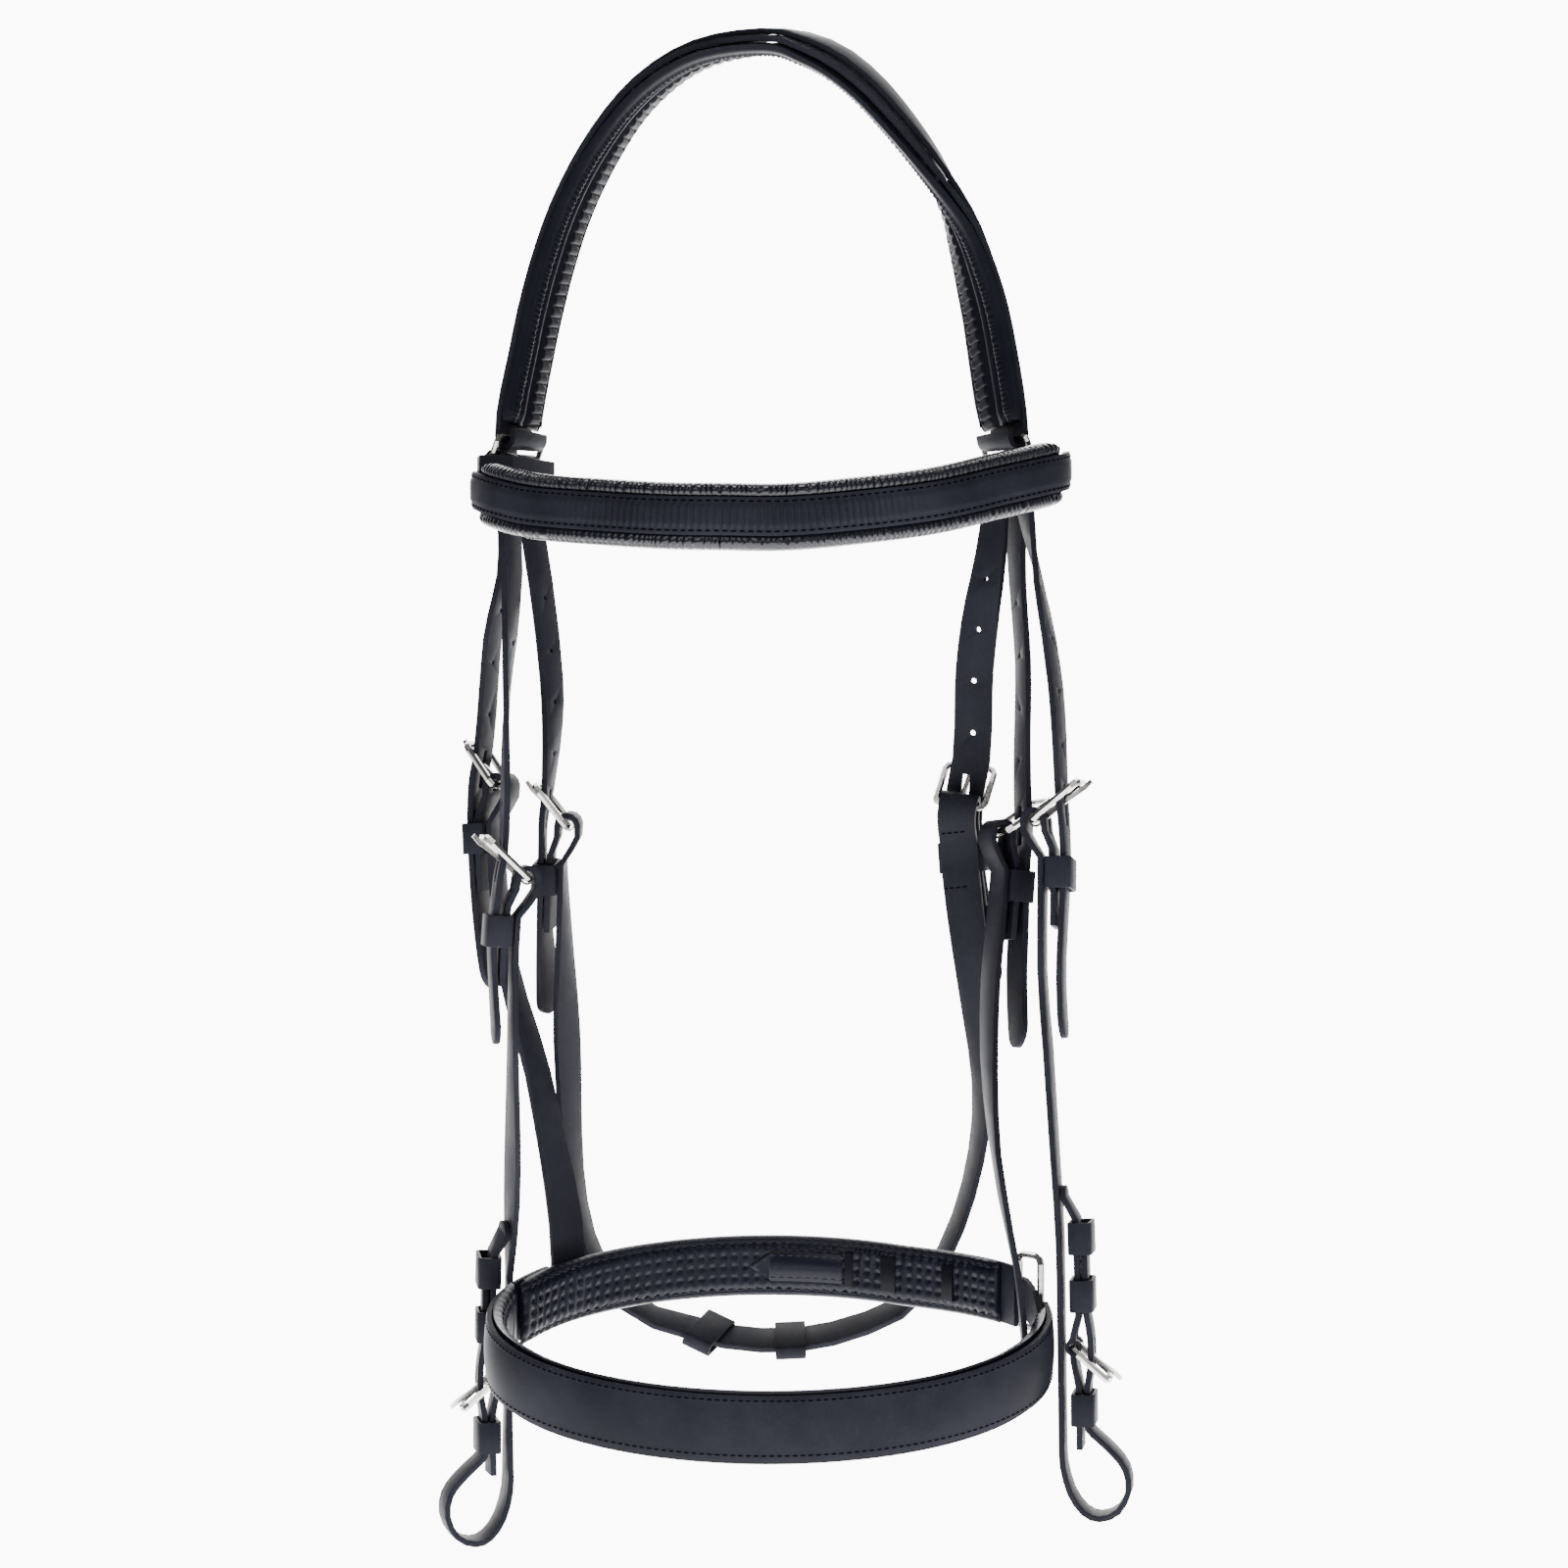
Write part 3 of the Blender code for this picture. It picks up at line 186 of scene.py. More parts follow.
def makeThread(name, values):
    f = Finish(name, Specular_IOR_Level=values["gleam"])
    fibre = f.noise(f.place(), values["fibre"], 2.0)
    return f.feed(Base_Color=f.blend(fibre, values["deep"], values["light"]),
                  Roughness=fibre * 0.2 + values["rough"],
                  Normal=f.relief(fibre, values["depth"], 0.5))


def makeNickel(name, values):
    f = Finish(name, Metallic=1.0)
    place = f.place()
    tarnish = f.noise(place, values["tarnish"], 4.0)
    scuff = f.noise(place, values["scuff"], 2.0)
    return f.feed(Base_Color=f.blend(tarnish, values["bright"], values["dull"]),
                  Roughness=tarnish * 0.14 + scuff * 0.06 + values["rough"],
                  Normal=f.relief(scuff, values["depth"], 0.25))


strapHide = makeBridleLeather("strap_leather", bridleLeather)
bandHide = makeBridleLeather("band_leather", bridleLeather, 0.04)
keeperHide = makeBridleLeather("keeper_leather", keeperLeather)
crownHide = makePadLeather("crown_lining", crownLeather)
padHide = makePadLeather("pad_leather", glossLeather)
browHide = makePadLeather("brow_lining", browLeather)
threadFinish = makeThread("thread", sewingThread)
darkThread = makeThread("dark_thread", darkSewing)
nickelFinish = makeNickel("nickel_plate", nickelPlate)
print("materials ready")


def rampUp(x, width):
    return max(0.0, min(1.0, x / width))


def between(x, low, high, soft):
    return rampUp(x - low, soft) * rampUp(high - x, soft)


def bell(x, width):
    return math.exp(-(x / width) ** 2)


def easedEnd(near, share, length):
    # grows from a share to the whole over the last length before a piece's end
    return share + (1.0 - share) * math.sqrt(min(near / length, 1.0))


def wobble(s, seed, scale):
    return noise.noise(Vector((s * scale, seed * 7.3, seed * 1.7)))


def smoothRoute(points, steps):
    made = []
    last = len(points) - 1
    for i in range(last):
        before, start, end, after = points[max(i - 1, 0)], points[i], points[i + 1], points[min(i + 2, last)]
        for k in range(steps):
            t = k / steps
            made.append(tuple(0.5 * (2 * b + (c - a) * t + (2 * a - 5 * b + 4 * c - d) * t * t
                                     + (3 * b - a - 3 * c + d) * t ** 3)
                              for a, b, c, d in zip(before, start, end, after)))
    made.append(tuple(points[last]))
    return made


def spaced(frames, step):
    # the same route at even steps, each row being its length so far, place, across and out
    lengths = [0.0]
    for a, b in zip(frames, frames[1:]):
        lengths.append(lengths[-1] + (b[0] - a[0]).length)
    count = max(2, round(lengths[-1] / step))
    made = []
    i = 0
    for k in range(count + 1):
        s = lengths[-1] * k / count
        while i < len(frames) - 2 and s > lengths[i + 1]:
            i += 1
        t = (s - lengths[i]) / max(lengths[i + 1] - lengths[i], 1e-9)
        made.append((s, *(a.lerp(b, min(t, 1.0)) for a, b in zip(frames[i], frames[i + 1]))))
    return made


def onRow(row, across, out):
    return row[1] + row[2] * across + row[3] * out


def ringOf(row, section):
    return [onRow(row, across, out) for across, out in section]


def finishPiece(name, mesh, material, body, smooth=40):
    mesh.materials.clear()
    mesh.materials.append(material)
    mesh.shade_smooth()
    mesh.set_sharp_from_angle(angle=math.radians(smooth))
    piece = bpy.data.objects.new(name, mesh)
    bpy.context.scene.collection.objects.link(piece)
    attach(piece, body)
    return piece


def sweep(name, rings):
    # a closed skin through rings of points, with its length and girth as the UV map
    mesh = bpy.data.meshes.new(name)
    work = bmesh.new()
    rows = [[work.verts.new(p) for p in ring] for ring in rings]
    count = len(rows[0])
    layer = work.loops.layers.uv.new("girth")
    spans = list(zip(rows, rows[1:]))
    for r, (first, second) in enumerate(spans):
        for i in range(count):
            j = (i + 1) % count
            face = work.faces.new((first[i], first[j], second[j], second[i]))
            for loop, uv in zip(face.loops, ((r, i), (r, i + 1), (r + 1, i + 1), (r + 1, i))):
                loop[layer].uv = (uv[0] / len(spans), uv[1] / count)
    work.faces.new(list(reversed(rows[0])))
    work.faces.new(rows[-1])
    bmesh.ops.recalc_face_normals(work, faces=work.faces)
    work.to_mesh(mesh)
    work.free()
    return mesh


def sweptPiece(name, rings, material, body, smooth=50):
    return finishPiece(name, sweep(name, rings), material, body, smooth)


def evaluated(holder):
    # the mesh that an object's modifiers make; the object itself goes
    bpy.context.view_layer.update()
    made = bpy.data.meshes.new_from_object(holder.evaluated_get(bpy.context.evaluated_depsgraph_get()))
    bpy.data.objects.remove(holder)
    return made


# The crown's route, set to the photo: shares of half width, depth and drop, and the outer face's turn.
crownRoute = [
    (-0.865, 0.03, 0.322, -22), (-0.865, 0.00, 0.290, -22), (-0.865, -0.016, 0.268, -22),
    (-0.862, -0.014, 0.252, -22), (-0.850, -0.01, 0.235, -21), (-0.823, 0.00, 0.208, -20),
    (-0.792, 0.00, 0.178, -20), (-0.745, 0.00, 0.142, -19), (-0.683, 0.00, 0.106, -17),
    (-0.594, 0.00, 0.070, -14), (-0.468, 0.00, 0.034, -8), (-0.330, 0.00, 0.010, -2),
    (-0.187, 0.00, -0.003, 4), (0.000, 0.00, -0.0083, 10), (0.120, 0.00, -0.0045, 19),
    (0.232, 0.00, 0.0054, 23), (0.3355, 0.00, 0.0223, 22), (0.4273, 0.00, 0.0432, 19),
    (0.5276, 0.00, 0.0702, 13), (0.6180, 0.00, 0.1009, 1), (0.6725, 0.00, 0.1263, -12),
    (0.7125, 0.00, 0.1525, -19), (0.7450, 0.00, 0.1787, -23), (0.7680, 0.00, 0.205, -25),
    (0.786, -0.01, 0.228, -26), (0.802, -0.014, 0.249, -25), (0.813, -0.016, 0.268, -22),
    (0.814, 0.00, 0.290, -22), (0.814, 0.03, 0.322, -22),
]
# The browband's route: shares of half width, depth and drop.
browRoute = [
    (-1.000, 0.06, 0.299), (-1.006, -0.18, 0.301), (-0.988, -0.33, 0.304), (-0.925, -0.53, 0.310),
    (-0.790, -0.76, 0.318), (-0.560, -1.02, 0.324), (-0.345, -1.20, 0.328), (-0.150, -1.30, 0.3295),
    (0.048, -1.325, 0.330), (0.262, -1.25, 0.326), (0.543, -1.02, 0.317), (0.780, -0.73, 0.304),
    (0.935, -0.50, 0.295), (1.000, -0.33, 0.2905), (1.018, -0.15, 0.287), (1.016, 0.06, 0.285),
]
routes = {"steps": 10, "ringDrop": 0.1589}


def placesOf(dense):
    return [Vector((row[0] * head["half"], row[1] * head["depth"], -row[2] * head["drop"])) for row in dense]


def alongAt(places, i, reach):
    return (places[min(i + reach, len(places) - 1)] - places[max(i - reach, 0)]).normalized()


def crownFrames(step):
    dense = smoothRoute(crownRoute, routes["steps"])
    places = placesOf(dense)
    frames = []
    for i, place in enumerate(places):
        along = alongAt(places, i, 2)
        turn = math.radians(dense[i][3])
        flat = along.cross(Vector((0, 1, 0))).normalized()
        back = (Vector((0, 1, 0)) - along * along.y).normalized()
        out = (flat * math.cos(turn) - back * math.sin(turn)).normalized()
        frames.append((place, (-along).cross(out).normalized(), out))
    return spaced([f for f in frames if f[0].z > -routes["ringDrop"]], step)


def browFrames(step, setback=None):
    places = placesOf(smoothRoute(browRoute, routes["steps"]))
    frames = []
    for i, place in enumerate(places):
        along = alongAt(places, i, 1)
        out = Vector((along.y, -along.x, 0)).normalized()
        frames.append((place, out.cross(along).normalized() * -1, out))
    if setback is not None:
        frames = [f for f in frames if f[0].y < -setback]
    return spaced(frames, step)


# The noseband is a tilted oval; its rear half climbs towards the buckle, from one angle to the other.
noseRing = {"half": 0.1140, "depth": 0.080, "tilt": math.radians(15.4), "drop": 0.529, "setback": -0.035,
            "rise": 0.0060, "riseFrom": 150, "riseTo": 113, "steps": 240}


def noseFrame(degrees, lift):
    a = math.radians(degrees)
    out = Vector((math.sin(a) * noseRing["depth"], -math.cos(a) * noseRing["half"], 0)).normalized()
    flat = Vector((noseRing["half"] * math.sin(a), -noseRing["depth"] * math.cos(a), 0))
    slope = math.tan(noseRing["tilt"]) * flat.y
    return flat + Vector((0, noseRing["setback"], slope + lift - noseRing["drop"])), Vector((0, 0, 1)), out


def rearLift(degrees):
    share = (noseRing["riseFrom"] - degrees) / (noseRing["riseFrom"] - noseRing["riseTo"])
    return noseRing["rise"] * max(0.0, share) ** 1.3


def noseFrames(begin, end, step, lift=lambda degrees: 0.0):
    turns = [begin + (end - begin) * k / noseRing["steps"] for k in range(noseRing["steps"] + 1)]
    return spaced([noseFrame(degrees, lift(degrees)) for degrees in turns], step)


# Sewing thread: small capsules set along a line by Geometry Nodes
seam = {"pitch": 0.0030, "length": 0.0022, "radius": 0.00034, "segments": 6, "rings": 5}


def stitchTree():
    tree = bpy.data.node_groups.new("stitch_row", "GeometryNodeTree")
    given = {"Geometry": "Geometry", "Pitch": "Float", "Length": "Float", "Radius": "Float", "Thread": "Material"}
    for label, kind in given.items():
        tree.interface.new_socket(label, in_out="INPUT", socket_type="NodeSocket" + kind)
    tree.interface.new_socket("Geometry", in_out="OUTPUT", socket_type="NodeSocketGeometry")
    kinds = {
        "given": "NodeGroupInput", "result": "NodeGroupOutput", "line": "GeometryNodeMeshToCurve",
        "points": "GeometryNodeCurveToPoints", "capsule": "GeometryNodeMeshUVSphere", "half": "ShaderNodeMath",
        "size": "ShaderNodeCombineXYZ", "shape": "GeometryNodeTransform",
        "aim": "FunctionNodeAlignRotationToVector", "place": "GeometryNodeInstanceOnPoints",
        "real": "GeometryNodeRealizeInstances", "paint": "GeometryNodeSetMaterial",
    }
    nodes = {name: tree.nodes.new(kind) for name, kind in kinds.items()}
    nodes["points"].mode = "LENGTH"
    nodes["capsule"].inputs["Segments"].default_value = seam["segments"]
    nodes["capsule"].inputs["Rings"].default_value = seam["rings"]
    nodes["capsule"].inputs["Radius"].default_value = 1.0
    nodes["half"].operation = "MULTIPLY"
    nodes["half"].inputs[1].default_value = 0.5
    nodes["aim"].axis = "Z"
    links = [
        ("given", "Geometry", "line", "Mesh"), ("line", "Curve", "points", "Curve"),
        ("given", "Pitch", "points", "Length"), ("given", "Length", "half", 0),
        ("given", "Radius", "size", "X"), ("given", "Radius", "size", "Y"), ("half", 0, "size", "Z"),
        ("capsule", "Mesh", "shape", "Geometry"), ("size", "Vector", "shape", "Scale"),
        ("points", "Tangent", "aim", "Vector"), ("points", "Points", "place", "Points"),
        ("shape", "Geometry", "place", "Instance"), ("aim", "Rotation", "place", "Rotation"),
        ("place", "Instances", "real", "Geometry"), ("real", "Geometry", "paint", "Geometry"),
        ("given", "Thread", "paint", "Material"), ("paint", "Geometry", "result", "Geometry"),
    ]
    for source, output, target, socket in links:
        tree.links.new(nodes[source].outputs[output], nodes[target].inputs[socket])
    return tree


stitchRow = stitchTree()


def stitches(name, lines, body, pitch=seam["pitch"], length=seam["length"], radius=seam["radius"],
             thread=threadFinish):
    # every line of points becomes a row of thread, all in one piece
    mesh = bpy.data.meshes.new(name)
    points, edges = [], []
    for line in lines:
        start = len(points)
        points += line
        edges += [(start + i, start + i + 1) for i in range(len(line) - 1)]
    mesh.from_pydata([tuple(p) for p in points], edges, [])
    holder = bpy.data.objects.new(name + "_line", mesh)
    bpy.context.scene.collection.objects.link(holder)
    step = holder.modifiers.new("stitches", "NODES")
    step.node_group = stitchRow
    ids = {item.name: item.identifier for item in stitchRow.interface.items_tree if item.in_out == "INPUT"}
    for label, value in (("Pitch", pitch), ("Length", length), ("Radius", radius), ("Thread", thread)):
        step[ids[label]] = value
    made = evaluated(holder)
    made.materials.clear()
    made.materials.append(thread)
    made.name = name
    piece = bpy.data.objects.new(name, made)
    bpy.context.scene.collection.objects.link(piece)
    made.shade_smooth()
    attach(piece, body)
    return piece


# The crown's lining: a piped ridge along its front, two channels, and a gathered lane behind them
crownLining = {"half": 0.018, "face": 0.0002, "back": 0.0012, "depth": 0.0034, "pitch": 0.0046, "step": 0.0004,
               "trim": 0.0050, "points": 56, "backPoints": 8, "backBow": 0.0004, "endHalf": (0.90, 0.012),
               "endDepth": (0.40, 0.005), "ladderFace": -0.0025, "hemFace": -0.0030}
# Rounded lines along it: place across, half width and height, the grooves being negative
crownLines = {"piping": (-0.0108, 0.0018, 0.0013), "ladder": (-0.0074, 0.0008, -0.0019),
              "welt": (-0.0046, 0.0015, 0.0006), "channel": (0.0004, 0.0019, -0.0014),
              "hem": (0.0137, 0.0006, -0.0011)}
crownWrinkle = {"pitch": 0.0021, "size": 0.22, "drift": 1.1}
crownLane = {"from": 0.0026, "to": 0.0128, "soft": 0.0012, "rise": 0.0006, "crease": 0.0009, "width": 0.00042,
             "drift": 0.35, "slant": 420, "dot": 0.0113, "dotDepth": 0.0007, "dotLength": 0.0006,
             "dotWidth": 0.0008}


def crownSection(s, total):
    v, lane, wrinkle = crownLining, crownLane, crownWrinkle
    near = min(s, total - s)
    half = v["half"] * easedEnd(near, *v["endHalf"])
    pull = easedEnd(near, *v["endDepth"])
    turns = s / wrinkle["pitch"] + wrinkle["drift"] * wobble(s, 1, 150.0)
    piped = 1.0 + wrinkle["size"] * math.sin(2 * math.pi * turns)
    strength = 0.65 + 0.5 * abs(wobble(s, 6, 130.0))
    made = []
    for i in range(v["points"] + 1):
        a = half * (1 - 2 * i / v["points"])
        depth = v["depth"]
        for name, (place, width, height) in crownLines.items():
            depth += height * bell(a - place, width) * (piped if name == "piping" else 1.0)
        phase = s / v["pitch"] + lane["drift"] * wobble(s, 2, 60.0) + 0.10 * math.sin(a * lane["slant"])
        away = (phase - math.floor(phase) - 0.5) * v["pitch"]
        hollow = (2 * away / v["pitch"]) ** 2
        gathered = lane["rise"] * (0.6 + 0.5 * hollow) - lane["crease"] * strength * bell(away, lane["width"])
        depth += between(a, lane["from"], lane["to"], lane["soft"]) * gathered
        depth -= lane["dotDepth"] * bell(away, lane["dotLength"]) * bell(a - lane["dot"], lane["dotWidth"])
        edge = math.sqrt(max(0.0, 1 - abs(a / half) ** 9))
        made.append((a, v["face"] - depth * edge * pull))
    for i in range(1, v["backPoints"]):
        a = -half + 2 * half * i / v["backPoints"]
        made.append((a, v["back"] - v["backBow"] * (abs(a) / half) ** 6))
    return made


def makeCrownLining():
    v = crownLining
    rows = crownFrames(v["step"] * (1))
    rows = [row for row in rows if v["trim"] < row[0] < rows[-1][0] - v["trim"]]
    first, total = rows[0][0], rows[-1][0] - rows[0][0]
    rings = [ringOf(row, crownSection(row[0] - first, total)) for row in rows]
    pad = sweptPiece("crownLining", rings, crownHide, "headpiece", 60)
    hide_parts("crown_pad")
    lines = [[onRow(row, crownLines[name][0], v[name + "Face"]) for row in rows[8:-8:4]]
             for name in ("ladder", "hem")]
    stitches("crownSeams", lines, "headpiece", pitch=0.0046, length=0.0034, radius=0.00042)
    print("crown lining", len(rings))


# The browband's lining is gathered along both edges, where it rolls out past the leather
browPad = {"half": 0.01325, "front": -0.0003, "back": -0.0063, "step": 0.0005, "gather": 0.0027, "roll": 0.0017,
           "clear": 0.0078, "tuck": 0.012, "crease": 0.00110, "backCrease": 0.0004, "setback": 0.028,
           "points": 48, "endHalf": 0.08, "endThick": 0.35}


def browPadSection(s, total):
    v = browPad
    middle = (v["front"] + v["back"]) / 2
    near = min(1.0, min(s, total - s) / v["tuck"])
    ended = math.sqrt(max(0.0, 1 - (1 - near) ** 2))
    half = v["clear"] + (v["half"] - v["clear"]) * (v["endHalf"] + (1 - v["endHalf"]) * ended)
    thick = v["endThick"] + (1 - v["endThick"]) * ended
    section = []
    for i in range(v["points"]):
        t = 2 * math.pi * (i + 0.5) / v["points"]
        c = math.cos(t)
        a = math.copysign(half * abs(c) ** 0.45, c)
        u = max(0.0, (abs(a) - v["clear"]) / (v["half"] - v["clear"]))
        side = 11 if a > 0 else 12
        phase = s / v["gather"] + 1.2 * wobble(s, side, 140.0) + 0.5 * wobble(s, side + 3, 40.0)
        fold = bell(phase - math.floor(phase) - 0.5, 0.17) * (0.55 + 0.9 * abs(wobble(s, side + 5, 300.0)))
        if math.sin(t) > 0:
            b = v["front"] + v["roll"] * math.sin(math.pi * min(1.0, 0.15 + 0.8 * u)) * (1 if u > 0 else 0)
            b -= fold * v["crease"] * min(1.0, 2.5 * u)
            b = middle + (b - middle) * math.sqrt(max(0.0, 1 - min(1.0, u) ** 5))
        else:
            b = middle + (v["back"] - middle) * (1 - (abs(a) / (half + 0.0001)) ** 6) ** 0.5
            b += fold * v["backCrease"]
        section.append((a * (1 - 0.012 * fold), v["front"] + (b - v["front"]) * thick))
    return section


def makeBrowPad():
    rows = browFrames(browPad["step"] * (1), browPad["setback"])
    rings = [ringOf(row, browPadSection(row[0], rows[-1][0])) for row in rows]
    pad = sweptPiece("browLining", rings, browHide, "headpiece", 60)
    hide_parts("browband_pad")
    print("brow lining", len(rings))


def innerFace(half, back, ease):
    # the four corners of a leather band's flat inner side
    return [(-half, back + ease), (-half + 0.0004, back), (half - 0.0004, back), (half, back + ease)]


def edgeSeams(rows, v, out, every):
    # the stitched lines along both edges of a band
    total = rows[-1][0]
    kept = [row for row in rows if v["seamEnd"] < row[0] < total - v["seamEnd"]][::every]
    return [[onRow(row, side * (v["half"] - v["inset"]), out) for row in kept] for side in (-1, 1)]


# The browband: a raised middle with fine ribs across it, between two sunk rows of stitches
browBand = {"half": 0.0075, "thick": 0.0024, "ribPitch": 0.0029, "ribDepth": 0.00042, "ribDrift": 0.25,
            "ribFrom": -0.085, "ribTo": 0.062, "ribSoft": 0.03, "inset": 0.0016, "groove": 0.00018,
            "grooveWidth": 0.00045, "raised": 0.0026, "rise": 0.00055, "sunk": 0.0003, "edge": 0.00045,
            "step": 0.00045, "seamEnd": 0.004, "points": 16}


def browBandSection(s, x):
    v = browBand
    ribbed = between(x, v["ribFrom"], v["ribTo"], v["ribSoft"])
    rib = math.cos(2 * math.pi * (s / v["ribPitch"] + v["ribDrift"] * wobble(s, 8, 70.0)))
    section = []
    for i in range(v["points"] + 1):
        a = v["half"] * (1 - 2 * i / v["points"])
        inner = max(0.0, 1 - (a / (v["half"] - v["raised"])) ** 2)
        groove = bell(abs(a) - (v["half"] - v["inset"]), v["grooveWidth"])
        edge = v["edge"] * (abs(a) / v["half"]) ** 14
        rise = v["rise"] * min(1.0, inner * 2.2) - v["groove"] * groove - edge
        ribs = v["ribDepth"] * rib * ribbed * min(1.0, inner * 3)
        section.append((a, v["thick"] - v["sunk"] + rise + ribs))
    return section + innerFace(v["half"], 0.0, 0.0002)


def makeBrowBand():
    v = browBand
    rows = browFrames(v["step"])
    rings = [ringOf(row, browBandSection(row[0], row[1].x)) for row in rows]
    band = sweptPiece("browLeather", rings, bandHide, "headpiece")
    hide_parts("browband_leather")
    stitches("browSeams", edgeSeams(rows, v, v["thick"] - 0.00040, 6), "headpiece", pitch=0.0034, length=0.0024,
             radius=0.00038, thread=darkThread)
    print("brow leather", len(rings))


# The front band of the noseband: gently domed, with a patch of faint ribs right of its middle
noseBand = {"from": -125, "to": 97, "half": 0.0125, "thick": 0.0015, "inset": 0.0019, "groove": 0.00018,
            "grooveWidth": 0.00050, "domed": 0.003, "dome": 0.0007, "sunk": 0.0002, "edge": 0.0006,
            "step": 0.0007, "ribPitch": 0.0024, "ribDepth": 0.00008, "ribDrift": 0.2, "ribFrom": 0.012,
            "ribTo": 0.075, "ribHalf": 0.0095, "seamEnd": 0.004, "points": 20}


def noseBandSection(s, x):
    v = noseBand
    ribbed = rampUp(x - v["ribFrom"], 0.02) * rampUp(v["ribTo"] - x, 0.03)
    rib = math.cos(2 * math.pi * (s / v["ribPitch"] + v["ribDrift"] * wobble(s, 9, 80.0)))
    section = []
    for i in range(v["points"] + 1):
        a = v["half"] * (1 - 2 * i / v["points"])
        groove = bell(abs(a) - (v["half"] - v["inset"]), v["grooveWidth"])
        dome = v["dome"] * max(0.0, 1 - (a / (v["half"] - v["domed"])) ** 2)
        edge = v["edge"] * (abs(a) / v["half"]) ** 14
        ribs = v["ribDepth"] * rib * ribbed * (1 if abs(a) < v["ribHalf"] else 0)
        section.append((a, v["thick"] - v["sunk"] + dome - v["groove"] * groove - edge + ribs))
    return section + innerFace(v["half"], -v["thick"], 0.0003)


def makeNoseBand():
    v = noseBand
    rows = noseFrames(v["from"], v["to"], v["step"])
    rings = [ringOf(row, noseBandSection(row[0], row[1].x)) for row in rows]
    band = sweptPiece("noseLeather", rings, bandHide, "noseband")
    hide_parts("noseband_leather")
    stitches("noseSeams", edgeSeams(rows, v, v["thick"] - 0.00030, 4), "noseband", thread=darkThread)
    print("nose leather", len(rings))


# The noseband's two linings: padded, with a sunk seam along both edges; the chin's is dimpled by quilting
nosePad = {"from": -108, "to": 90, "half": 0.01425, "front": -0.0018, "back": -0.0078, "step": 0.0010,
           "gather": 0.0050, "seam": -0.0062}
chinPad = {"from": 119, "to": 250, "half": 0.0128, "front": -0.0045, "back": -0.0090, "step": 0.0008,
           "gather": 0.0042, "seam": -0.0076}
noseQuilt = {"inset": 0.0028, "groove": 0.0011, "grooveWidth": 0.0008, "swell": 0.00022, "slant": 100,
             "endDepth": (0.40, 0.008), "full": 0.94, "points": 33, "backPoints": 6, "backBow": 0.0002}
dimples = {"deep": 0.0013, "along": 0.0050, "across": 0.0046, "within": 0.72, "power": 5}


def padSection(s, total, v, dimpled, seed):
    q = noseQuilt
    pull = easedEnd(min(s, total - s), *q["endDepth"])
    phase = s / v["gather"] + 0.6 * wobble(s, seed, 90.0)
    section = []
    for i in range(q["points"] + 1):
        a = v["half"] * (1 - 2 * i / q["points"])
        u = abs(a) / v["half"]
        dome = max(0.0, 1 - u ** 6) ** 0.5
        depth = (v["front"] - v["back"]) * q["full"] * dome
        depth -= q["groove"] * bell(abs(a) - (v["half"] - q["inset"]), q["grooveWidth"])
        depth += q["swell"] * math.cos(2 * math.pi * phase + 2 * a * q["slant"]) * dome
        if dimpled and u < dimples["within"]:
            du = math.sin(math.pi * s / dimples["along"]) ** 2
            dv = math.cos(math.pi * a / dimples["across"]) ** 2
            depth -= dimples["deep"] * (du * dv) ** dimples["power"]
        section.append((a, v["front"] - depth * pull))
    for i in range(1, q["backPoints"]):
        a = -v["half"] + 2 * v["half"] * i / q["backPoints"]
        section.append((a, v["front"] - q["backBow"] * (abs(a) / v["half"]) ** 4))
    return section


def padRings(rows, v, dimpled=False, seed=11):
    return [ringOf(row, padSection(row[0], rows[-1][0], v, dimpled, seed)) for row in rows]


def sideLines(rows, across, out):
    return [[onRow(row, side * across, out) for row in rows] for side in (-1, 1)]


def makeNosePad():
    v = nosePad
    rows = noseFrames(v["from"], v["to"], v["step"])
    pad = sweptPiece("noseLining", padRings(rows, v), padHide, "noseband", 60)
    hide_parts("noseband_pad")
    stitches("noseLiningSeams", sideLines(rows[8:-8:4], v["half"] - noseQuilt["inset"], v["seam"]), "noseband",
             pitch=0.0040, length=0.0028)
    print("nose lining", len(rows))


def makeChinPad():
    v = chinPad
    rows = noseFrames(v["from"], v["to"], v["step"], rearLift)
    pad = sweptPiece("chinLining", padRings(rows, v, dimpled=True, seed=14), padHide, "noseband", 60)
    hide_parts("chin_pad")
    stitches("chinLiningSeams", sideLines(rows[6:-6:4], v["half"] - noseQuilt["inset"], v["seam"]), "noseband",
             pitch=0.0040, length=0.0029)
    print("chin lining", len(rows))


chinBand = {"from": 113, "to": 246, "half": 0.0125, "front": -0.0018, "back": -0.0042, "step": 0.0009,
            "inset": 0.0019, "groove": 0.00015, "grooveWidth": 0.0006, "edge": 0.0005, "points": 12}


def makeChinBand():
    v = chinBand
    rows = noseFrames(v["from"], v["to"], v["step"], rearLift)
    section = []
    for i in range(v["points"] + 1):
        a = v["half"] * (1 - 2 * i / v["points"])
        groove = bell(abs(a) - (v["half"] - v["inset"]), v["grooveWidth"])
        edge = v["edge"] * (abs(a) / v["half"]) ** 12
        section.append((a, v["front"] - v["groove"] * groove - edge))
    section += innerFace(v["half"], v["back"], 0.0003)
    rings = [ringOf(row, section) for row in rows]
    band = sweptPiece("chinLeather", rings, bandHide, "noseband")
    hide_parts("chin_strap")
    stitches("chinSeams", sideLines(rows[5:-5:4], v["half"] - v["inset"], v["front"] - 0.0001), "noseband")
    print("chin band", len(rings))


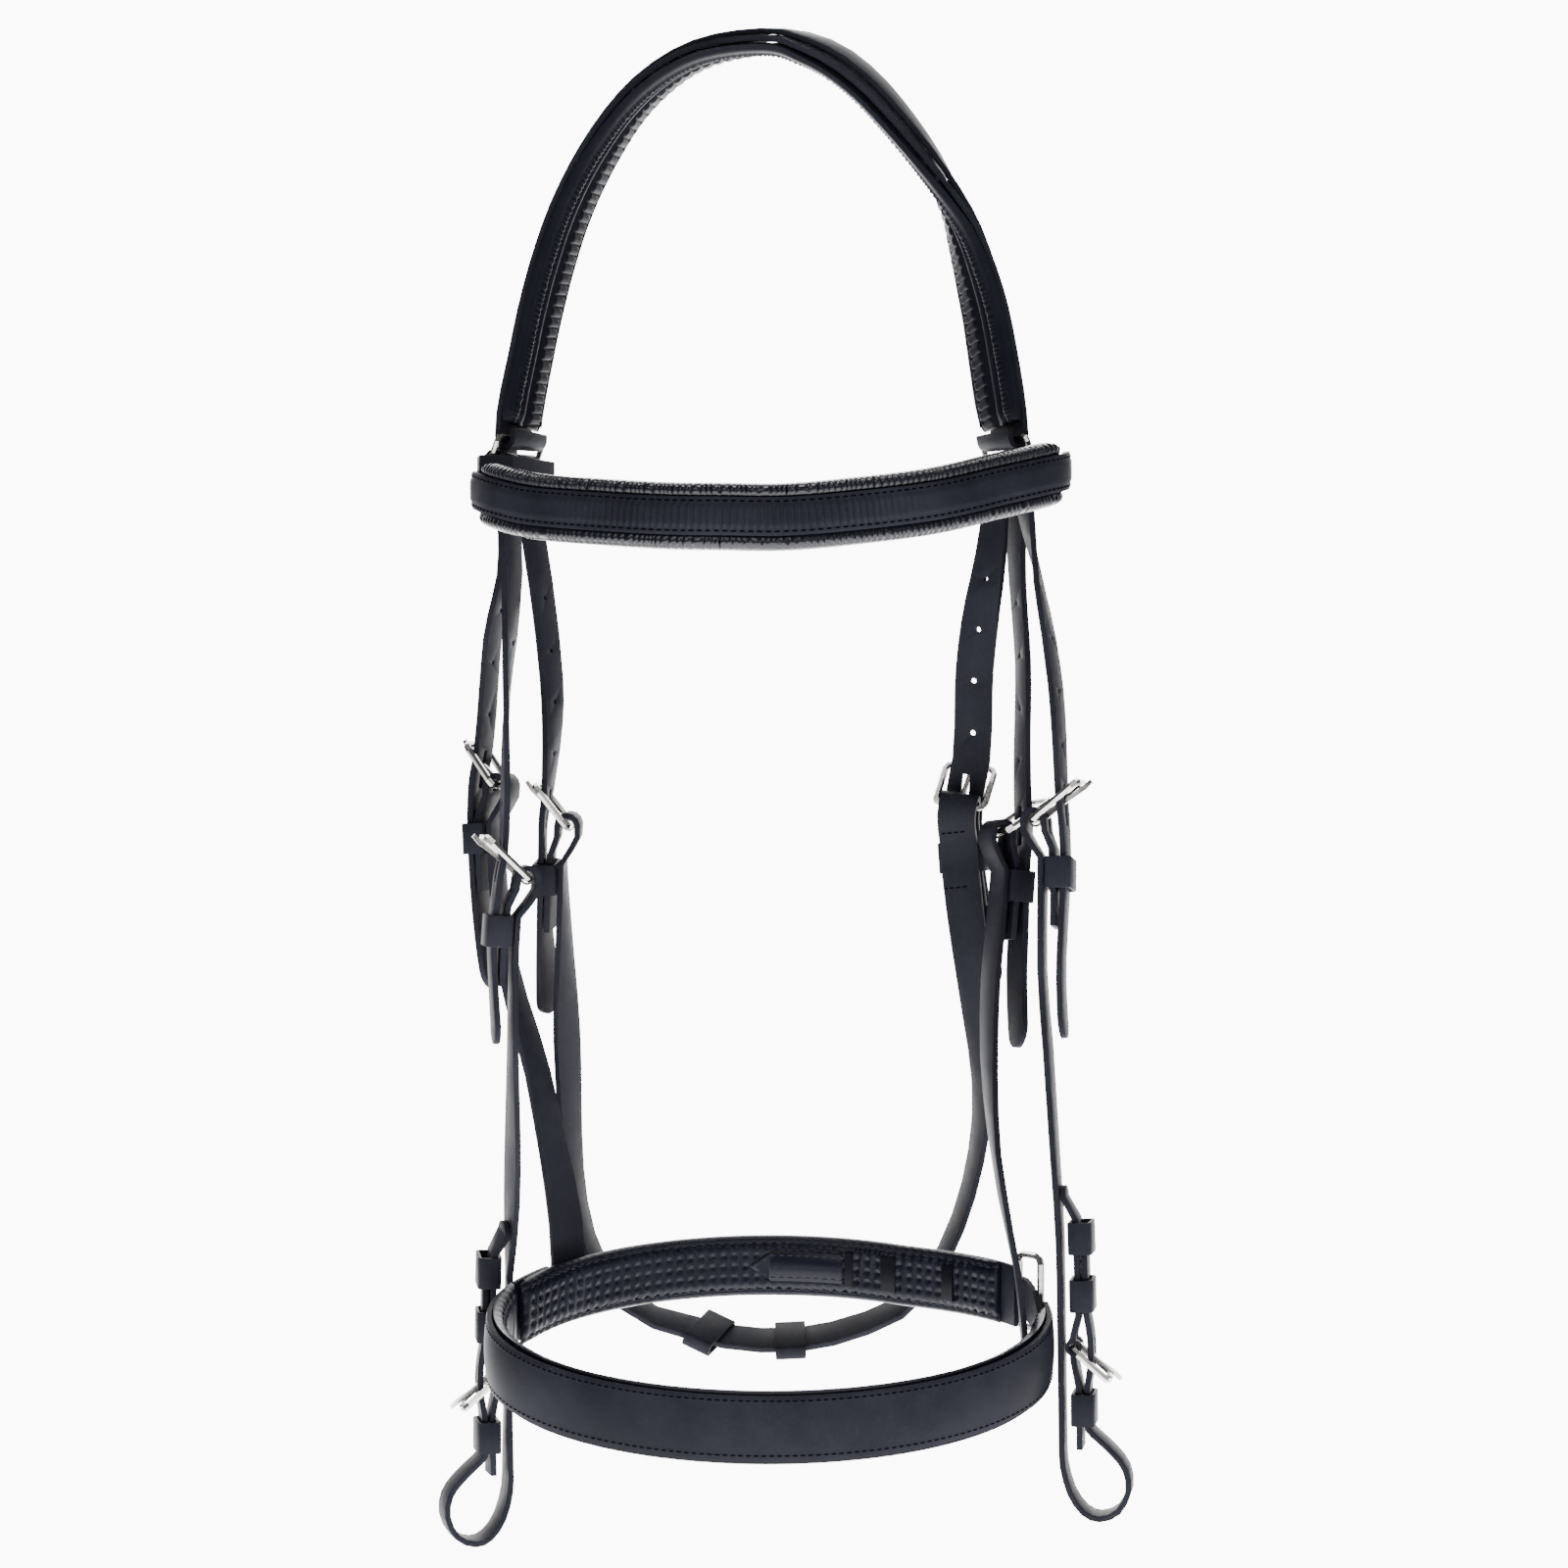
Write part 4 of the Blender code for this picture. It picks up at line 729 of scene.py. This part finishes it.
# On the rear band's inner face: a pointed strap end and three flat keepers, each at its angle and of its width
rearTrim = {"face": -0.0088, "sunk": 0.0012, "proud": 0.0009, "half": 0.0062, "tip": 184.2, "heel": 163.5,
            "point": 0.009, "blunt": 0.10, "seamInset": 0.0014, "seamFrom": 0.0024, "step": 0.0006,
            "bevel": 0.0004}
rearKeepers = {"first": (161.9, 0.0030), "second": (152.2, 0.0060), "third": (135.6, 0.0056)}
rearKeeper = {"half": 0.0074, "sunk": 0.0016, "proud": 0.0026, "radius": 0.095}


def pointedHalf(s):
    v = rearTrim
    return v["half"] * min(1.0, v["blunt"] + (1 - v["blunt"]) * s / v["point"])


def flatPatch(name, rows, halves, face, proud, material):
    edge = rearTrim["bevel"]
    rings = []
    for row, half in zip(rows, halves):
        inner, low, high, top = half - edge, face - edge, face - proud + edge, face - proud
        section = [(inner, face), (half, low), (half, high), (inner, top),
                   (-inner, top), (-half, high), (-half, low), (-inner, face)]
        rings.append(ringOf(row, section))
    return sweptPiece(name, rings, material, "noseband")


def makeRearTrim():
    v, k = rearTrim, rearKeeper
    rows = noseFrames(v["tip"], v["heel"], v["step"], rearLift)
    flatPatch("strapPoint", rows, [pointedHalf(row[0]) for row in rows], v["face"] + v["sunk"],
              v["proud"] + v["sunk"], padHide)
    sewn = [row for row in rows[3:] if pointedHalf(row[0]) > v["seamFrom"]]
    lines = [[onRow(row, side * (pointedHalf(row[0]) - v["seamInset"]), v["face"] - v["proud"]) for row in sewn]
             for side in (-1, 1)]
    stitches("strapPointSeam", lines, "noseband", pitch=0.0034, length=0.0024, radius=0.00032)
    for name, (middle, wide) in rearKeepers.items():
        turn = math.degrees(wide / k["radius"]) / 2
        rows = noseFrames(middle + turn, middle - turn, v["step"], rearLift)
        flatPatch(name + "RearKeeper", rows, [k["half"]] * len(rows), v["face"] + k["sunk"], k["proud"], keeperHide)
    print("rear trim ready")


# The billet that climbs from inside the front band to outside the rear one, wrinkled where it bends
billet = {"first": 91, "last": 131, "shiftFirst": 97.5, "shiftLast": 111, "inner": -0.0030, "outer": -0.0003,
          "half": 0.008, "thick": 0.0024, "count": 120, "points": 14, "taperFrom": 0.9, "taper": 0.75,
          "looseFrom": 98, "looseTo": 112, "wrinkle": 0.0006, "pitch": 0.0038, "seam": 0.0016,
          "groove": 0.00016, "grooveWidth": 0.0004}


def makeBillet():
    v = billet
    rings = []
    walked = 0.0
    last = None
    for k in range(v["count"] + 1):
        degrees = v["first"] + (v["last"] - v["first"]) * k / v["count"]
        climbed = min(1.0, (degrees - v["first"]) / (v["shiftLast"] - v["first"]))
        shifted = rampUp(degrees - v["shiftFirst"], v["shiftLast"] - v["shiftFirst"])
        place, up, out = noseFrame(degrees, rearLift(degrees) * climbed)
        place = place + out * (v["inner"] + (v["outer"] - v["inner"]) * shifted)
        walked += (place - last).length if last else 0.0
        last = place.copy()
        half = v["half"] * (1.0 - v["taper"] * max(0.0, (k / v["count"] - v["taperFrom"]) / (1 - v["taperFrom"])))
        loose = between(degrees, v["looseFrom"], v["looseTo"], 3) * v["wrinkle"]
        section = []
        for i in range(v["points"] + 1):
            a = half * (1 - 2 * i / v["points"])
            fold = math.sin(2 * math.pi * (walked / v["pitch"] + 30 * a + wobble(a, 21, 160.0)))
            groove = v["groove"] * bell(abs(a) - half + v["seam"], v["grooveWidth"])
            section.append((a, v["thick"] / 2 + loose * (fold - 0.4) * bell(a, 0.007) - groove))
        section += [(-half, -v["thick"] / 2), (half, -v["thick"] / 2)]
        rings.append([place + up * a + out * b for a, b in section])
    piece = sweptPiece("noseBillet", rings, strapHide, "noseband")
    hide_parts("noseband_billet")
    print("billet", len(rings))


# Short hand stitches across the folds of the lower straps: x, z and length of each, as the photo shows them
crossStitches = {
    "throat_latch": [(0.0762, -0.3222, 0.0080), (0.0772, -0.3452, 0.0080)],
    "noseband_hanger_right": [(0.0893, -0.3300, 0.0034), (0.0898, -0.3590, 0.0034)],
}
crossSeam = {"pitch": 0.0022, "length": 0.0020, "radius": 0.00032, "slant": 0.0004, "proud": 0.0003}


def onStrap(node, x, z):
    # where a line of sight from the camera meets the strap's face, a hair above it
    eye = bpy.context.scene.camera.location
    aim = Vector((x, 0.0, z))
    hit, place, normal, index = frame["nodes"][node].ray_cast(eye, (aim - eye).normalized())
    return place + normal * crossSeam["proud"] if hit else None


def makeCrossStitches():
    v = crossSeam
    for node, rows in crossStitches.items():
        lines = [[onStrap(node, x + side * wide / 2, z + side * v["slant"]) for side in (-1, 1)]
                 for x, z, wide in rows]
        lines = [ends for ends in lines if all(ends)]
        if lines:
            stitches(node + "Cross", lines, frame["nodes"][node]["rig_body"], pitch=v["pitch"],
                     length=v["length"], radius=v["radius"], thread=darkThread)
    print("cross stitches ready")


refine = {"bevel": 0.00035, "segments": 2, "bevelFrom": math.radians(40), "flat": math.radians(1.0),
          "merge": 0.00002, "smooth": 38}


def refinedCopy(node, body):
    # the strap's own shape, with its edges eased as dressed leather has them
    name = node + "_eased"
    mesh = frame["nodes"][node].data.copy()
    work = bmesh.new()
    work.from_mesh(mesh)
    bmesh.ops.remove_doubles(work, verts=work.verts, dist=refine["merge"])
    bmesh.ops.dissolve_limit(work, angle_limit=refine["flat"], verts=work.verts, edges=work.edges)
    work.to_mesh(mesh)
    work.free()
    mesh.name = name
    piece = bpy.data.objects.new(name, mesh)
    bpy.context.scene.collection.objects.link(piece)
    ease = piece.modifiers.new("ease", "BEVEL")
    ease.width = refine["bevel"]
    ease.segments = refine["segments"]
    ease.limit_method = "ANGLE"
    ease.angle_limit = refine["bevelFrom"]
    made = evaluated(piece)
    made.name = name
    piece = finishPiece(name, made, strapHide, body, smooth=refine["smooth"])
    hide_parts(node)
    return piece


def dressNodes():
    replaced = {"crown_pad", "browband_pad", "noseband_pad", "chin_pad", "browband_leather", "noseband_leather",
                "chin_strap", "noseband_billet"}
    for name, node in sorted(frame["nodes"].items()):
        if name in replaced:
            continue
        if name.endswith(("_buckle", "_tongue")) or name.startswith("ring_"):
            node.data.materials.clear()
            node.data.materials.append(nickelFinish)
        else:
            refinedCopy(name, node["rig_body"])
    print("straps eased")


# A white studio sweep that glows a little, as a backdrop lit from behind does
stageGlow = {"strength": 8.0, "wide": 3.5, "lit": 0.24, "dark": 0.33, "white": 1.0, "grey": 0.05}
stageShape = {"front": -2.4, "floor": -0.72, "bend": 1.2, "radius": 0.9, "top": 3.2}


def makeStage():
    f = Finish("studio_floor", Roughness=0.9, Emission_Strength=stageGlow["strength"])
    place = f.place()
    tone = f.noise(place, 2.0, 2.0)
    white = f.blend(tone, (0.90, 0.90, 0.90), (0.93, 0.93, 0.93))
    x = f.node("ShaderNodeSeparateXYZ", None, {0: place}, "X")
    aside = f.node("ShaderNodeMath", {"operation": "ABSOLUTE"}, {0: x * (1 / stageGlow["wide"])})
    lit = f.node("ShaderNodeValToRGB", {"stops": [(stageGlow["lit"], 1.0), (stageGlow["dark"], 0.0)]}, {0: aside})
    glow = f.blend(lit, (stageGlow["grey"],) * 3, (stageGlow["white"],) * 3)
    v = stageShape
    profile = [(v["front"], v["floor"]), (v["bend"], v["floor"])]
    for degrees in range(10, 91, 10):
        a = math.radians(degrees)
        profile.append((v["bend"] + v["radius"] * math.sin(a), v["floor"] + v["radius"] * (1 - math.cos(a))))
    profile.append((v["bend"] + v["radius"], v["top"]))
    mesh = bpy.data.meshes.new("studioSweep")
    work = bmesh.new()
    rows = [[work.verts.new((x, y, z)) for y, z in profile] for x in (-stageGlow["wide"], stageGlow["wide"])]
    for i in range(len(profile) - 1):
        work.faces.new((rows[0][i], rows[1][i], rows[1][i + 1], rows[0][i + 1]))
    work.to_mesh(mesh)
    work.free()
    mesh.materials.append(f.feed(Base_Color=white, Emission_Color=glow))
    mesh.shade_smooth()
    floor = bpy.data.objects.new("studioSweep", mesh)
    bpy.context.scene.collection.objects.link(floor)


lamps = {
    "key": {"at": (-1.1, -1.9, 1.1), "size": 1.3, "power": 34.0},
    "fill": {"at": (1.5, -1.6, 0.2), "size": 1.2, "power": 14.0},
    "top": {"at": (0.1, -0.3, 1.3), "size": 0.7, "power": 26.0},
}
surroundings = {"strength": 0.22, "aim": (0, 0, -0.3)}


def makeLight():
    world = bpy.data.worlds.new("studio")
    bpy.context.scene.world = world
    world.use_nodes = True
    background = world.node_tree.nodes["Background"]
    background.inputs["Color"].default_value = (1.0, 1.0, 1.0, 1.0)
    background.inputs["Strength"].default_value = surroundings["strength"]
    for name, v in lamps.items():
        data = bpy.data.lights.new(name, "AREA")
        data.size = v["size"]
        data.energy = v["power"]
        lamp = bpy.data.objects.new(name, data)
        lamp.location = v["at"]
        toward = Vector(surroundings["aim"]) - Vector(v["at"])
        lamp.rotation_euler = toward.to_track_quat("-Z", "Y").to_euler()
        bpy.context.scene.collection.objects.link(lamp)


view = {"lens": 90, "sensor": 36, "at": (0.006, -1.630, -0.302), "turn": (math.radians(90), 0, 0)}


def makeCamera():
    data = bpy.data.cameras.new("view")
    data.lens = view["lens"]
    data.sensor_width = view["sensor"]
    camera = bpy.data.objects.new("view", data)
    camera.location = view["at"]
    camera.rotation_euler = view["turn"]
    bpy.context.scene.collection.objects.link(camera)
    bpy.context.scene.camera = camera


makeCamera()
makeStage()
makeLight()
print("camera and lights ready")
makeCrownLining()
makeBrowPad()
makeBrowBand()
makeNoseBand()
makeNosePad()
makeChinPad()
makeChinBand()
makeRearTrim()
makeBillet()
makeCrossStitches()
dressNodes()
